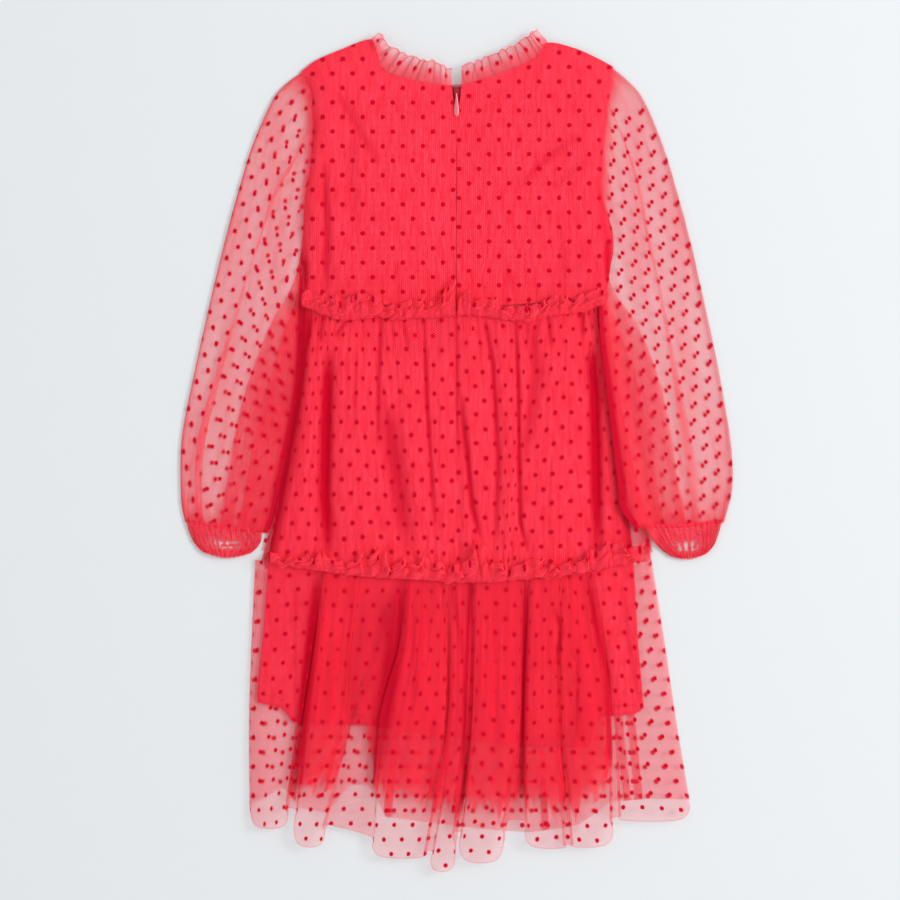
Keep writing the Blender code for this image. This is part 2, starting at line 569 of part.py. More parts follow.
def flute_columns():
    """Top, middle and hem across, length and rise, with round lobes between the rows."""
    columns = []
    for here, after in zip(TIER2_FLUTES, TIER2_FLUTES[1:]):
        grows = after.rise >= here.rise
        steps = FLUTE_STEPS if grows else [1 - step for step in [1.0, *FLUTE_STEPS[:0:-1]]]
        for step in steps:
            flat = [between(here[i], after[i], step) for i in range(3)]
            columns.append(flat + [lobe(here.length, after.length, step, grows, HEM_ROUNDNESS),
                                   lobe(here.rise, after.rise, step, grows, RISE_ROUNDNESS)])
    columns.append(list(TIER2_FLUTES[-1]))
    return np.array(columns)


def second_tier_back():
    """The back of the second tier: deep flutes that spread towards the lobed hem."""
    table = flute_columns()
    shares = np.array(TIER2_ROWS)[:, None]
    across = parabola(table[:, 0], table[:, 1], table[:, 2], shares)
    head = line(TIER_SEAM, across[0]) + SEAM_GAP / 2
    down = between(head, table[:, 3], shares)
    inwards = np.minimum(across - across[:, :1], across[:, -1:] - across)
    under = slope(SKIRT_SIDE_SLOPE, inwards)
    under = under + np.array(TIER2_FOLD_ROWS)[:, None] * table[:, 4]
    slab("tier2_back", across, down, under, WALL, SHEER)


def second_tier_front():
    """The front of the second tier, flat on the surface."""
    hem = np.array(TIER2_FRONT_HEM)
    shares = np.array(TIER2_FRONT_ROWS)[:, None]
    left, right = TIER2_FLUTES[0], TIER2_FLUTES[-1]
    left_across = parabola(left.top, left.middle, hem[0, 0], shares)
    right_across = parabola(right.top, right.middle, hem[-1, 0], shares)
    part = (hem[:, 0] - hem[0, 0]) / (hem[-1, 0] - hem[0, 0])
    across = between(left_across, right_across, part)
    head = line(TIER_SEAM, across[0]) + FRONT_BAND_HALF + FRONT_BAND_GAP
    slab("tier2_front", across, between(head, hem[:, 1], shares), 0.0, WALL, SHEER)


def skirt_lining(name, under):
    """A lining of the skirt, from the waist to its own hem, short of the tulle."""
    left, right, hem = np.array(LINING_LEFT), np.array(LINING_RIGHT), np.array(LINING_HEM)
    shares = np.array(LINING_ROWS)
    left_rows = (left[:, 1] - left[0, 1]) / (left[-1, 1] - left[0, 1])
    right_rows = (right[:, 1] - right[0, 1]) / (right[-1, 1] - right[0, 1])
    left_across = np.interp(shares, left_rows, left[:, 0])[:, None]
    right_across = np.interp(shares, right_rows, right[:, 0])[:, None]
    part = (hem[:, 0] - hem[0, 0]) / (hem[-1, 0] - hem[0, 0])
    across = between(left_across, right_across, part)
    head = line(WAIST_SEAM, across[0]) + 2 * SEAM_GAP
    slab(name, across, between(head, hem[:, 1], shares[:, None]), under, WALL, LINING)


def under_net():
    """The petticoat net, gathered onto the lining at the tier seam, with its uneven edge."""
    hem = np.array(UNDER_NET_HEM)
    part = (hem[:, 0] - hem[0, 0]) / (hem[-1, 0] - hem[0, 0])
    head_across = between(UNDER_NET_TOP_LEFT, UNDER_NET_TOP_RIGHT, part)
    shares = np.array(UNDER_NET_ROWS)[:, None]
    across = between(head_across, hem[:, 0], shares)
    down = between(line(TIER_SEAM, head_across), hem[:, 1], shares)
    slab("under_net", across, down, UNDER_NET_Z, NET_WALL, NET)


def skirt_cover(across, down):
    """Height that a piece needs to pass over the right side of the first tier."""
    edge = TIER1_RIGHT_FOLDS[-1]
    head, foot = WAIST_SEAM[-1].down, TIER_SEAM[-1].down
    share = np.clip((down - head) / (foot - head), 0.0, 1.0)
    inside = parabola(edge.top, edge.middle, edge.hem, share) - across + SKIRT_COVER_LEAD
    return np.where((down > head) & (across > 0), slope(SKIRT_COVER, inside), 0.0)


def tube(name, sections, across_shares, rises, first_ring=None):
    """A sleeve lying flat: sections of an upper and a lower wall that join at both edges."""
    table = np.array(sections)
    part = np.array(across_shares)
    across = between(table[:, :1], table[:, 2:3], part)
    down = between(table[:, 1:2], table[:, 3:4], part)
    bow = table[:, 4:5] * np.sin(np.pi * part)
    run = np.stack([table[:, 2] - table[:, 0], table[:, 3] - table[:, 1]], axis=1)
    run = run / np.linalg.norm(run, axis=1)[:, None]
    side = np.sign(table[0, 0])
    across = across - side * bow * np.abs(run[:, 1:2])
    down = down - bow * np.abs(run[:, :1])
    if first_ring is not None:
        across[0], down[0] = first_ring
    low = skirt_cover(across, down)
    puff = table[:, 5:6] * np.sin(np.pi * part)
    folds = np.array(rises) * np.clip(table[:, 5:6], 0.0, 1.2)
    high = low + 2 * WALL + SLEEVE_HOLLOW + puff + folds
    squeeze = WALL / np.hypot(across[:, -1:] - across[:, :1], down[:, -1:] - down[:, :1])
    inner_part = between(squeeze, 1 - squeeze, part)
    rows = np.arange(len(table))[:, None]
    inner_across = interpolate_rows(across, part, inner_part, rows)
    inner_down = interpolate_rows(down, part, inner_part, rows)
    outer = ring_points(across, down, low, high)
    inner = ring_points(inner_across, inner_down, low + WALL, high - WALL)
    sections_count, around = outer.shape[:2]
    count = sections_count * around
    faces = ring_faces(sections_count, around, 0) + ring_faces(sections_count, around, count)
    for end in (0, (sections_count - 1) * around):
        for here in range(around):
            a, b = end + here, end + (here + 1) % around
            faces += [(a, b, b + count), (a, b + count, a + count)]
    points = np.concatenate([outer.reshape(-1, 3), inner.reshape(-1, 3)])
    return add_object(name, points, faces, SHEER)


def interpolate_rows(values, part, wanted, rows):
    """Values of each row at new places along it."""
    return np.array([np.interp(wanted[row[0]], part, values[row[0]]) for row in rows])


def ring_points(across, down, low, high):
    """Closed rings: along the lower wall and back along the upper wall."""
    lower = place(across, down, low)
    upper = place(across, down, high)[:, ::-1]
    return np.concatenate([lower, upper], axis=1)


def ring_faces(sections_count, around, first):
    """Two triangles for each cell between neighbouring rings."""
    faces = []
    for section in range(sections_count - 1):
        for here in range(around):
            a = first + section * around + here
            b = first + section * around + (here + 1) % around
            faces += [(a, a + around, b + around), (a, b + around, b)]
    return faces


def sleeve(name, sections, side):
    """A sleeve whose first ring follows the armhole."""
    shares = [share for share, _ in SLEEVE_FOLDS]
    rises = [rise for _, rise in SLEEVE_FOLDS]
    table = np.array(side[:UNDERARM_ROW + 1])
    places = np.linspace(0.0, UNDERARM_ROW, len(shares))
    rows = np.arange(UNDERARM_ROW + 1)
    across = np.interp(places, rows, table[:, 0]) + np.sign(table[0, 0]) * SEAM_GAP
    return tube(name, sections, shares, rises, (across, np.interp(places, rows, table[:, 1])))


def cuff(name, sections):
    """An elastic end, gathered into small ridges."""
    shares = np.linspace(0.0, 1.0, 2 * CUFF_GATHERS + 1)
    rises = CUFF_GATHER_RISE * (np.arange(len(shares)) % 2)
    return tube(name, sections, shares, rises)


def standing_frill(name, seam, edge):
    """A frill stitched on a seam: its heading stands up in turns, its foot lies below the seam."""
    table = np.array(edge)
    places = np.arange(len(edge))
    wanted = np.arange(2 * len(edge) - 1) / 2.0
    across = np.interp(wanted, places, table[:, 0])
    upper = np.interp(wanted, places, table[:, 1])
    stitch = line(seam, across)
    crest = FRILL_CREST * np.clip((stitch - upper) / FRILL_HEADING, 0.0, 1.2)
    curl = FRILL_CURL * (1 + np.cos(np.pi * wanted))
    lower = stitch + FRILL_BELOW_SEAM + FRILL_FOOT_WAVE * np.sin(np.pi * wanted)
    out = np.array([1.0, 0.5, 0.0])[:, None]
    heading_down = between(stitch, upper, out)
    heading_under = FRILL_SEAM_Z + FRILL_LIFT * out + (crest + curl) * out ** FRILL_ROUNDNESS
    down = np.concatenate([heading_down, lower[None]])
    under = np.concatenate([heading_under, np.full((1, len(across)), FRILL_LOWER_Z)])
    slab(name, np.broadcast_to(across, down.shape), down, under, WALL, TULLE)


def front_frill(name, seam, left, right):
    """The front part of a frill, pressed flat where the dress lies on it."""
    across = np.linspace(left, right, FRONT_BAND_COLUMNS)
    middle = line(seam, across)
    down = np.stack([middle - FRONT_BAND_HALF, middle + FRONT_BAND_HALF])
    slab(name, np.stack([across, across]), down, 0.0, WALL, TULLE)


def box(name, low, high, finish):
    """A plain block from its lowest and highest across, down and height."""
    across = np.array([[low[0], high[0]], [low[0], high[0]]])
    down = np.array([[low[1], low[1]], [high[1], high[1]]])
    return slab(name, across, down, low[2], high[2] - low[2], finish)


def zip_tape():
    """The zip's tape between the lining halves, then under the first tier."""
    down = np.array([ZIP_TAPE_TOP, *ZIP_TAPE_STEP_DOWN, ZIP_TAPE_END])[:, None]
    under = np.array([BODICE_LINING_BACK_Z] * 2 + [ZIP_TAPE_SKIRT_Z] * 2)[:, None]
    across = np.array([[-ZIP_TAPE_HALF, 0.0, ZIP_TAPE_HALF]])
    slab("zip_tape", across, down, under, WALL, ZIP_CLOTH)


def zip_slider():
    """The slider in the zip's mouth, with two ears for the pull."""
    down = np.array([[SLIDER_TOP], [SLIDER_END]])
    half = np.array([[SLIDER_TOP_HALF], [SLIDER_END_HALF]])
    across = half * np.array([[-1.0, 1.0]])
    slider = slab("zip_slider", across, down, SLIDER_UNDER_Z, SLIDER_DECK_Z - SLIDER_UNDER_Z,
                  ZIP_PAINT)
    for side in (-1, 1):
        near, far = sorted((side * EAR_INNER, side * EAR_OUTER))
        ear = box(f"ear_{side}", (near, PULL_AXIS_DOWN - EAR_HALF_LENGTH, SLIDER_DECK_Z - EAR_SUNK),
                  (far, PULL_AXIS_DOWN + EAR_HALF_LENGTH, EAR_TOP_Z), ZIP_PAINT)
        join = slider.modifiers.new("ear", "BOOLEAN")
        join.operation = "UNION"
        join.object = ear
        ear.hide_render = True
        ear.display_type = "WIRE"


def zip_pull():
    """The drop-shaped pull, its origin on the hinge between the slider's ears."""
    shares, half = np.array(PULL_SHAPE).T
    down = PULL_AXIS_DOWN - PULL_TAIL + (PULL_LENGTH + PULL_TAIL) * shares
    across = half[:, None] * np.array([[-1.0, 0.0, 1.0]])
    hinge = place(0.0, PULL_AXIS_DOWN, PULL_AXIS_Z)
    slab("zip_pull", across, down[:, None], PULL_AXIS_Z - PULL_THICK / 2, PULL_THICK, ZIP_PAINT, hinge)


def build():
    """Make every piece of the dress."""
    clear_scene()
    front_bodice()
    back_lining("bodice_back_lining_left", LINING_TOP_LEFT, SIDE_LEFT)
    back_lining("bodice_back_lining_right", LINING_TOP_RIGHT, SIDE_RIGHT)
    back_bodice("bodice_back_left", BACK_TOP_LEFT, SIDE_LEFT, TOP_CLIMB_LEFT)
    back_bodice("bodice_back_right", BACK_TOP_RIGHT, SIDE_RIGHT, TOP_CLIMB_RIGHT)
    neck_frill("neck_frill_left", BACK_TOP_LEFT[4:], NECK_FRILL_EDGE_LEFT)
    neck_frill("neck_frill_right", BACK_TOP_RIGHT[:6], NECK_FRILL_EDGE_RIGHT)
    front_neck_frill()
    sleeve("sleeve_left", SLEEVE_LEFT, SIDE_LEFT)
    sleeve("sleeve_right", SLEEVE_RIGHT, SIDE_RIGHT)
    cuff("cuff_left", CUFF_LEFT)
    cuff("cuff_right", CUFF_RIGHT)
    standing_frill("waist_frill_left", WAIST_SEAM, WAIST_FRILL_LEFT)
    standing_frill("waist_frill_right", WAIST_SEAM, WAIST_FRILL_RIGHT)
    front_frill("waist_frill_front", WAIST_SEAM, SIDE_LEFT[-1].across, SIDE_RIGHT[-1].across)
    first_tier_front()
    first_tier_back("tier1_back_left", TIER1_LEFT_FOLDS, -1)
    first_tier_back("tier1_back_right", TIER1_RIGHT_FOLDS, 1)
    standing_frill("tier2_frill_back", TIER_SEAM, TIER2_FRILL)
    front_frill("tier2_frill_front", TIER_SEAM, TIER2_FLUTES[0].top, TIER2_FLUTES[-1].top)
    second_tier_front()
    second_tier_back()
    skirt_lining("skirt_lining_front", SKIRT_LINING_FRONT_Z)
    skirt_lining("skirt_lining_back", SKIRT_LINING_BACK_Z)
    under_net()
    zip_tape()
    zip_slider()
    zip_pull()


build()
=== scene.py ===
"""Looks of a child's party dress: dotted tulle over a crinkled lining, laid flat, its back upwards.

Tables are in millimetres. "across" runs from the centre back to the right, "down" runs from the top
of the neck frill to the hem, and heights are above the surface that the dress lies on.
"""

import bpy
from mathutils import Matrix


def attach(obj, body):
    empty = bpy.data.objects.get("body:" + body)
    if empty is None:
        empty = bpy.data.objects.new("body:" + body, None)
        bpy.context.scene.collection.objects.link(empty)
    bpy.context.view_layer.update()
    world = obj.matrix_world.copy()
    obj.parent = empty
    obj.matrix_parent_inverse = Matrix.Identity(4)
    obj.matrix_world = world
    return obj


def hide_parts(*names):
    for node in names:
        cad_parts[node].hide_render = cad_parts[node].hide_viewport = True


bl_info = {
    "name": "Dotted tulle dress",
    "version": (1, 0, 0),
    "blender": (4, 5, 0),
    "location": "3D View > Sidebar > Dress",
    "description": "Dresses the frame of a party dress in tulle, lining, frills, dots and a zip",
    "category": "Object",
}

from collections import namedtuple

import bpy
import numpy as np

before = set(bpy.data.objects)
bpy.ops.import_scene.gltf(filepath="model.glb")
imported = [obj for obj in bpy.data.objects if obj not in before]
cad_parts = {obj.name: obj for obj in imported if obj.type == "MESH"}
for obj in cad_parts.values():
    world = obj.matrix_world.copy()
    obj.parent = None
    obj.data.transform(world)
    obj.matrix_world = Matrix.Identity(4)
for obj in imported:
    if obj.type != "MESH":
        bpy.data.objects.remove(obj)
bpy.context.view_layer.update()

MM = 0.001
LENGTH = 688.0
DRESS = "dress"
PULL = "pull"

Patch = namedtuple("Patch", "points cloth density shade")
Crease = namedtuple("Crease", "line width depth")
Fold = namedtuple("Fold", "top middle hem rise")
Flute = namedtuple("Flute", "left right rise hems")
Tuck = namedtuple("Tuck", "top hem width")
Section = namedtuple("Section", "outer_across outer_down inner_across inner_down bow puff")

# Rows down and columns across of the grids
BODICE_ROWS, BODICE_COLUMNS = 111, 121
BODICE_FRONT_ROWS, BODICE_FRONT_COLUMNS = 91, 151
TIER1_ROWS, TIER1_COLUMNS = 130, 190
TIER1_FRONT_ROWS, TIER1_FRONT_COLUMNS = 60, 120
TIER2_ROWS, FLUTE_COLUMNS = 120, 44
TIER2_FRONT_ROWS, TIER2_FRONT_COLUMNS = 91, 260
LINING_ROWS, LINING_COLUMNS = 221, 261
SLEEVE_RINGS, SLEEVE_AROUND = 120, 260
CUFF_RINGS, CUFF_AROUND = 44, 420
FRILL_ROWS, FRILL_COLUMNS_IN_MM = 18, 2.2
BAND_ROWS, BAND_COLUMNS = 9, 160
NECK_ROWS, NECK_COLUMNS_IN_PLEAT = 26, 34
NECK_FRONT_ROWS, NECK_FRONT_COLUMNS = 12, 320
ZIP_ROWS, ZIP_COLUMNS = 60, 14
PULL_RINGS, PULL_SIDES = 40, 24

# Dots: sides of a rim, and heights of the middle and the rim over the cloth
DOT_SIDES = 9
DOT_HEIGHT = 0.28
DOT_EDGE = 0.1
DOT_FAN = np.array([(0, 1 + side, 1 + (side + 1) % DOT_SIDES) for side in range(DOT_SIDES)])

# Creases die out as a power of the distance; gathers have a pitch, a reach and a height
CREASE_BELL = 2.0
GATHERS = ((5.5, 9.0, 0.55), (9.0, 26.0, 0.75), (15.0, 70.0, 0.8))
NET_MASK_MEAN = 0.47

# Radii of the threads and rolled edges
HEM_CORD = 0.16
STITCH_CORD = 0.22
FRILL_CORD = 0.28
NECK_CORD = 0.3
TOOTH_CORD = 0.4

# Heights of the cloth layers that lie on each other
FRONT_Z = 0.5
FRONT_LINING_Z = 1.9
BACK_LINING_Z = 3.4
BODICE_BACK_Z = 6.6
SKIRT_BACK_Z = 6.6
NET_UNDER = 0.5
NET_LAYER_GAP = 0.7
LINING_UNDER = 0.7
BODICE_LINING_UNDER = 0.5
FRONT_OVER_SEAM = 8.0

# Bodice: the top line of each half of the back, then its armhole and side down to the waist
BACK_TOP_LEFT = [
    (-127.5, 34.4), (-123.0, 30.8), (-114.0, 24.5), (-93.0, 15.6), (-70.0, 8.0), (-66.0, 20.5),
    (-58.6, 33.6), (-40.6, 40.2), (-23.4, 43.5), (-3.7, 46.0),
]
BACK_TOP_RIGHT = [
    (3.7, 45.5), (20.9, 41.0), (34.9, 37.0), (48.8, 31.2), (66.8, 22.1), (75.0, 10.7),
    (98.0, 15.6), (115.0, 23.2), (123.8, 27.8), (128.3, 30.3),
]
SIDE_LEFT = [
    (-127.5, 34.4), (-122.6, 44.0), (-118.5, 56.0), (-117.8, 86.0), (-120.5, 115.0),
    (-124.2, 139.0), (-125.9, 172.0), (-126.5, 196.0), (-127.6, 222.6),
]
SIDE_RIGHT = [
    (128.3, 30.3), (127.0, 44.0), (125.0, 56.0), (120.5, 86.0), (117.7, 115.0), (119.5, 139.0),
    (128.5, 172.0), (126.0, 196.0), (122.6, 219.8),
]
# How far the back has climbed from the shoulder seam at each point above, half the gap at the zip
# at each row, and how the middle of each half swells
TOP_CLIMB_LEFT = [0.0, 0.0, 0.0, 0.0, 0.2, 0.8, 1.0, 1.0, 1.0, 1.0]
ZIP_MOUTH = [3.7, 2.8, 0.2, 0.2, 0.2, 0.2, 0.2, 0.2, 0.2]
BODICE_LOFT_ROWS = [0.0, 0.3, 0.7, 1.0, 1.0, 1.0, 1.0, 0.25, 0.0]
BODICE_LOFT = 1.8
BODICE_LOFT_EDGE = 12.0
BODICE_SIDE_SLOPE = [(0.0, 2.8), (2.0, 4.9), (5.0, 6.2), (9.0, BODICE_BACK_Z)]
ZIP_FLAT_WIDTH = 30.0
FRONT_NECK_DROP = 16.0
NECK_HALF_WIDTH = 72.0
UNDERARM_ROW = 6
BODICE_SHADE_DEPTH = 2.9
BODICE_CREASES = [
    Crease([(-97, 53), (-80, 82), (-64, 111)], 3.5, 1.4),
    Crease([(-108, 110), (-106, 170), (-107, 215)], 3.2, 2.2),
    Crease([(-124, 186), (-124, 214)], 2.6, 2.4),
    Crease([(-84, 80), (-86, 120), (-82, 165)], 5.0, 0.8),
    Crease([(99, 86), (76, 104), (52, 127)], 3.5, 1.3),
    Crease([(109, 107), (92, 118), (73, 135)], 3.0, 0.8),
    Crease([(114, 120), (120, 150), (121, 175)], 3.5, 1.2),
    Crease([(123, 168), (124, 210)], 3.6, 2.4),
    Crease([(-2, 202), (-17, 222)], 2.0, 0.9),
    Crease([(-70, 57), (-45, 66), (-22, 72)], 2.5, 0.5),
    Crease([(-50, 190), (-47, 222)], 2.5, 0.7),
    Crease([(40, 190), (46, 218)], 2.5, 0.7),
    Crease([(84, 160), (90, 214)], 4.0, 0.7),
]

WAIST_SEAM = [(-128.3, 223.0), (0.0, 229.0), (122.6, 220.0)]
TIER_SEAM = [
    (-166.0, 434.0), (-110.0, 441.0), (-50.0, 447.0), (10.0, 446.0), (60.0, 443.0),
    (118.0, 434.0), (162.0, 428.0),
]

# First tier: a row for each edge, valley or crest
TIER1_LEFT_FOLDS = [
    Fold(-127.5, -137.0, -160.0, 0.0), Fold(-118.5, -131.5, -150.0, 0.0),
    Fold(-110.0, -119.0, -129.0, 2.6), Fold(-100.5, -106.0, -105.4, 0.0),
    Fold(-81.6, -81.6, -75.0, 4.0), Fold(-61.0, -52.0, -39.8, 0.4),
    Fold(-43.0, -36.5, -30.0, 3.2), Fold(-26.6, -22.0, -18.5, 0.8),
    Fold(-12.0, -11.0, -10.0, 2.4), Fold(-0.2, -0.2, -0.2, 0.6),
]
TIER1_RIGHT_FOLDS = [
    Fold(0.2, 0.2, 0.2, 0.6), Fold(10.0, 12.0, 10.0, 2.6), Fold(22.5, 32.0, 28.0, 0.4),
    Fold(48.0, 45.5, 40.0, 3.6), Fold(71.8, 58.5, 51.3, 0.4), Fold(91.4, 86.5, 84.9, 4.0),
    Fold(107.0, 112.0, 112.7, 0.0), Fold(114.5, 126.0, 136.0, 0.6),
    Fold(122.6, 138.0, 161.0, 0.0),
]
TIER1_FOLD_ROWS = [0.0, 0.0, 0.5, 0.8, 0.95, 1.0, 1.0, 1.0, 0.9, 0.5, 0.0]
SKIRT_SIDE_SLOPE = [(0.0, 2.0), (4.5, 5.0), (10.0, SKIRT_BACK_Z)]
TIER1_CREASES = [
    Crease([(-118, 234), (-126, 262), (-129, 287), (-133, 312), (-138, 336), (-146, 385),
            (-153, 422)], 3.4, 2.2),
    Crease([(-104, 268), (-106, 300), (-107, 340), (-108, 380), (-105, 426)], 4.8, 3.2),
    Crease([(-62, 230), (-64, 290), (-65, 343)], 1.7, 1.5),
    Crease([(-58, 307), (-50, 360), (-42, 418)], 7.5, 1.4),
    Crease([(-27, 234), (-24, 312), (-18.5, 403)], 1.7, 1.6),
    Crease([(-44, 241), (-40, 261)], 1.6, 1.2),
    Crease([(-82, 257), (-84, 337)], 1.5, 0.8),
    Crease([(-109.5, 232), (-112, 257)], 1.8, 1.4),
    Crease([(-100, 252), (-86.5, 234)], 1.7, 1.2),
    Crease([(0, 232), (0, 300), (1, 350)], 1.3, 1.2),
    Crease([(3, 301), (8.6, 350), (12.7, 391), (19, 416)], 2.4, 2.0),
    Crease([(21.7, 235), (29, 270), (34, 350), (31.6, 418)], 2.2, 1.6),
    Crease([(48, 232), (50.4, 290), (51, 350), (52, 404), (58.6, 430)], 1.8, 2.0),
    Crease([(60, 240), (66, 281), (54.5, 350)], 5.0, 1.0),
    Crease([(75, 231), (76.7, 261)], 1.7, 1.2),
    Crease([(103, 228), (103, 252)], 1.7, 1.2),
    Crease([(110, 262), (113, 300), (114, 350), (115, 424)], 4.6, 3.2),
    Crease([(124, 221), (132, 246), (141, 279)], 2.6, 1.4),
]

# Second tier: a flute's left and right edges at four even steps from the seam to the hem, its
# rise, and how far down the hem is at its left valley, its crest and its right valley
TIER2_FLUTES = [
    Flute((-165, -168, -170, -169.5), (-110, -117, -127, -137), 4.0, (631, 654, 636)),
    Flute((-110, -116, -125, -134), (-77, -86, -91, -107), 6.0, (638, 669, 648)),
    Flute((-43, -48, -64, -70), (-8, -7, -10, -23), 6.0, (661, 678, 672)),
    Flute((-6, -6, -9, -22), (14, 12, 8, 0), 6.0, (672, 689, 656)),
    Flute((15, 13, 10, 1), (57, 55, 53, 40), 6.4, (656, 682, 646)),
    Flute((59, 56, 54, 55), (87, 83, 85, 91), 6.0, (647, 670, 667)),
    Flute((87, 84, 86, 92), (109, 120, 127, 129), 5.4, (667, 669, 646)),
    Flute((110, 121, 128, 131), (159, 170, 180, 191), 3.6, (643, 648, 636)),
]
# Shares across and of the rise of a flute's control points, and how low its hem hangs at each
FLUTE_PROFILE = [
    (0.0, 0.0), (0.0, 0.35), (0.06, 0.85), (0.3, 1.0), (0.7, 1.0), (0.94, 0.85), (1.0, 0.35),
    (1.0, 0.0),
]
FLUTE_HEM = [0.0, 0.25, 0.85, 1.0, 1.0, 0.85, 0.25, 0.0]
TIER2_TUCK = 7.0
TIER2_RISE_ROWS = [0.0, 0.25, 0.7, 0.95, 1.05, 1.1, 1.15, 1.2]
TIER2_FRONT_HEM = [
    (-168.5, 635.0), (-142.0, 621.0), (-128.0, 638.0), (-105.0, 642.0), (-88.0, 619.0),
    (-71.0, 619.0), (-58.0, 645.0), (-20.0, 650.0), (20.0, 655.0), (60.0, 658.0),
    (100.0, 652.0), (126.0, 633.0), (160.0, 630.0), (190.5, 631.0),
]
TIER2_FRONT_TUCKS = [Tuck(-120, -138, 6), Tuck(-40, -60, 7), Tuck(60, 70, 6),
                     Tuck(118, 137, 6), Tuck(128, 146, 7)]
TIER2_CREASES = [
    Crease([(-113, 443), (-119, 500), (-124, 549), (-131, 607), (-134, 631)], 5.4, 3.0),
    Crease([(-43, 451), (-53, 517), (-62, 578), (-69, 620)], 6.6, 3.0),
    Crease([(14, 439), (11, 467), (7, 537), (6, 619), (0, 650)], 2.6, 2.2),
    Crease([(57, 452), (56, 496), (54, 578), (52, 645)], 3.2, 2.4),
    Crease([(79, 473), (86.5, 492), (80, 521)], 2.0, 1.4),
    Crease([(107, 448), (113.6, 485), (123, 526), (126, 599)], 3.0, 2.2),
    Crease([(136, 455), (144, 517), (150, 556)], 2.0, 1.0),
    Crease([(-36, 462), (-34, 558)], 3.4, 0.9),
    Crease([(-4, 455), (9, 533)], 2.4, 1.2),
    Crease([(-132, 447), (-132, 549)], 1.4, 0.7),
    Crease([(-54.5, 455), (-67, 521)], 1.4, 0.9),
    Crease([(-84, 448), (-88, 500), (-92, 560)], 2.2, 0.9),
    Crease([(-20, 560), (-22, 630)], 2.4, 1.0),
    Crease([(30, 470), (34, 560), (33, 630)], 2.2, 0.8), Crease([(99, 506), (99, 583)], 1.3, 1.8),
]
# Where the petticoat is thin: from and to across, and from and to down
NET_WINDOW_ACROSS = (50.0, 99.0)
NET_WINDOW_DOWN = (490.0, 592.0)
NET_HEM = [
    (-134, 604), (-130, 626), (-120, 630), (-107, 624), (-98, 619), (-93, 596), (-90, 572),
    (-76, 570), (-71, 596), (-67, 626), (-60, 630), (-56, 641), (-52, 630), (-40, 633),
    (-19, 640), (-16, 650), (-12, 640), (-3, 640), (0, 661), (4, 640), (18, 642), (29, 640),
    (32.8, 662), (37, 640), (48, 636), (60, 640), (77, 640), (81.5, 657), (85, 640), (95, 640),
    (98.8, 658), (103, 636), (112, 634), (122, 626), (129, 600),
]

LINING_LEFT = [(-126.5, 226.0), (-134.0, 330.0), (-153.0, 434.0), (-158.0, 500.0), (-163.5, 551.0)]
LINING_RIGHT = [(122.0, 223.0), (131.0, 330.0), (144.7, 434.0), (148.8, 508.0), (153.0, 556.0)]
LINING_HEM = [
    (-163.5, 551.0), (-142.0, 556.0), (-135.0, 567.0), (-75.0, 570.0), (-20.0, 578.0),
    (50.0, 588.0), (108.0, 588.0), (116.0, 563.0), (146.0, 561.0), (153.0, 556.0),
]
# Where the lining's side lines are read from and to, down
LINING_SIDE_ROWS = (230.0, 560.0)
LINING_STITCH_ROWS = (2.5, 8.5)
LINING_SHADE_DEPTH = 2.4
LINING_CREASES = [
    Crease([(-110, 443), (-116, 500), (-119, 533), (-123, 558)], 4.0, 1.2),
    Crease([(-150, 445), (-154, 500), (-158, 545)], 4.0, 0.6),
    Crease([(109, 439), (110, 467), (120, 508), (123, 545)], 4.0, 1.2),
    Crease([(-78, 450), (-84, 510), (-90, 565)], 4.0, 0.8),
]

# Sleeves and cuffs: a row for each section from the armhole to the wrist
SLEEVE_LEFT = [
    Section(-128.3, 35.0, -126.9, 172.5, 0.0, 0.3),
    Section(-148.0, 55.0, -128.0, 190.0, 7.0, 1.2),
    Section(-166.0, 94.0, -129.0, 213.0, 4.0, 1.8),
    Section(-178.4, 134.0, -130.5, 240.0, 2.0, 2.0),
    Section(-191.5, 183.0, -132.0, 268.0, 0.0, 2.0),
    Section(-203.0, 232.0, -135.0, 299.0, 0.0, 2.0),
    Section(-214.4, 283.0, -142.5, 339.0, -1.0, 2.0),
    Section(-224.4, 336.0, -149.0, 372.0, -3.0, 2.0),
    Section(-225.0, 383.0, -154.0, 396.0, -3.0, 1.4),
    Section(-221.8, 403.5, -159.5, 412.0, -2.0, 0.4),
]
SLEEVE_RIGHT = [
    Section(129.0, 31.0, 127.0, 172.5, 0.0, 0.3),
    Section(150.5, 55.0, 124.0, 190.0, 3.0, 1.2),
    Section(167.7, 94.0, 120.5, 213.0, 2.0, 1.8),
    Section(180.0, 134.0, 120.5, 240.0, 2.0, 2.0),
    Section(193.0, 183.0, 124.0, 268.0, 0.0, 2.0),
    Section(203.8, 232.0, 129.0, 303.0, 0.0, 2.0),
    Section(214.4, 283.0, 134.5, 344.0, -1.0, 2.0),
    Section(223.6, 338.0, 138.5, 374.0, -3.0, 2.0),
    Section(225.0, 375.0, 140.5, 391.0, -3.0, 1.4),
    Section(218.5, 404.0, 151.0, 408.5, -2.0, 0.4),
]
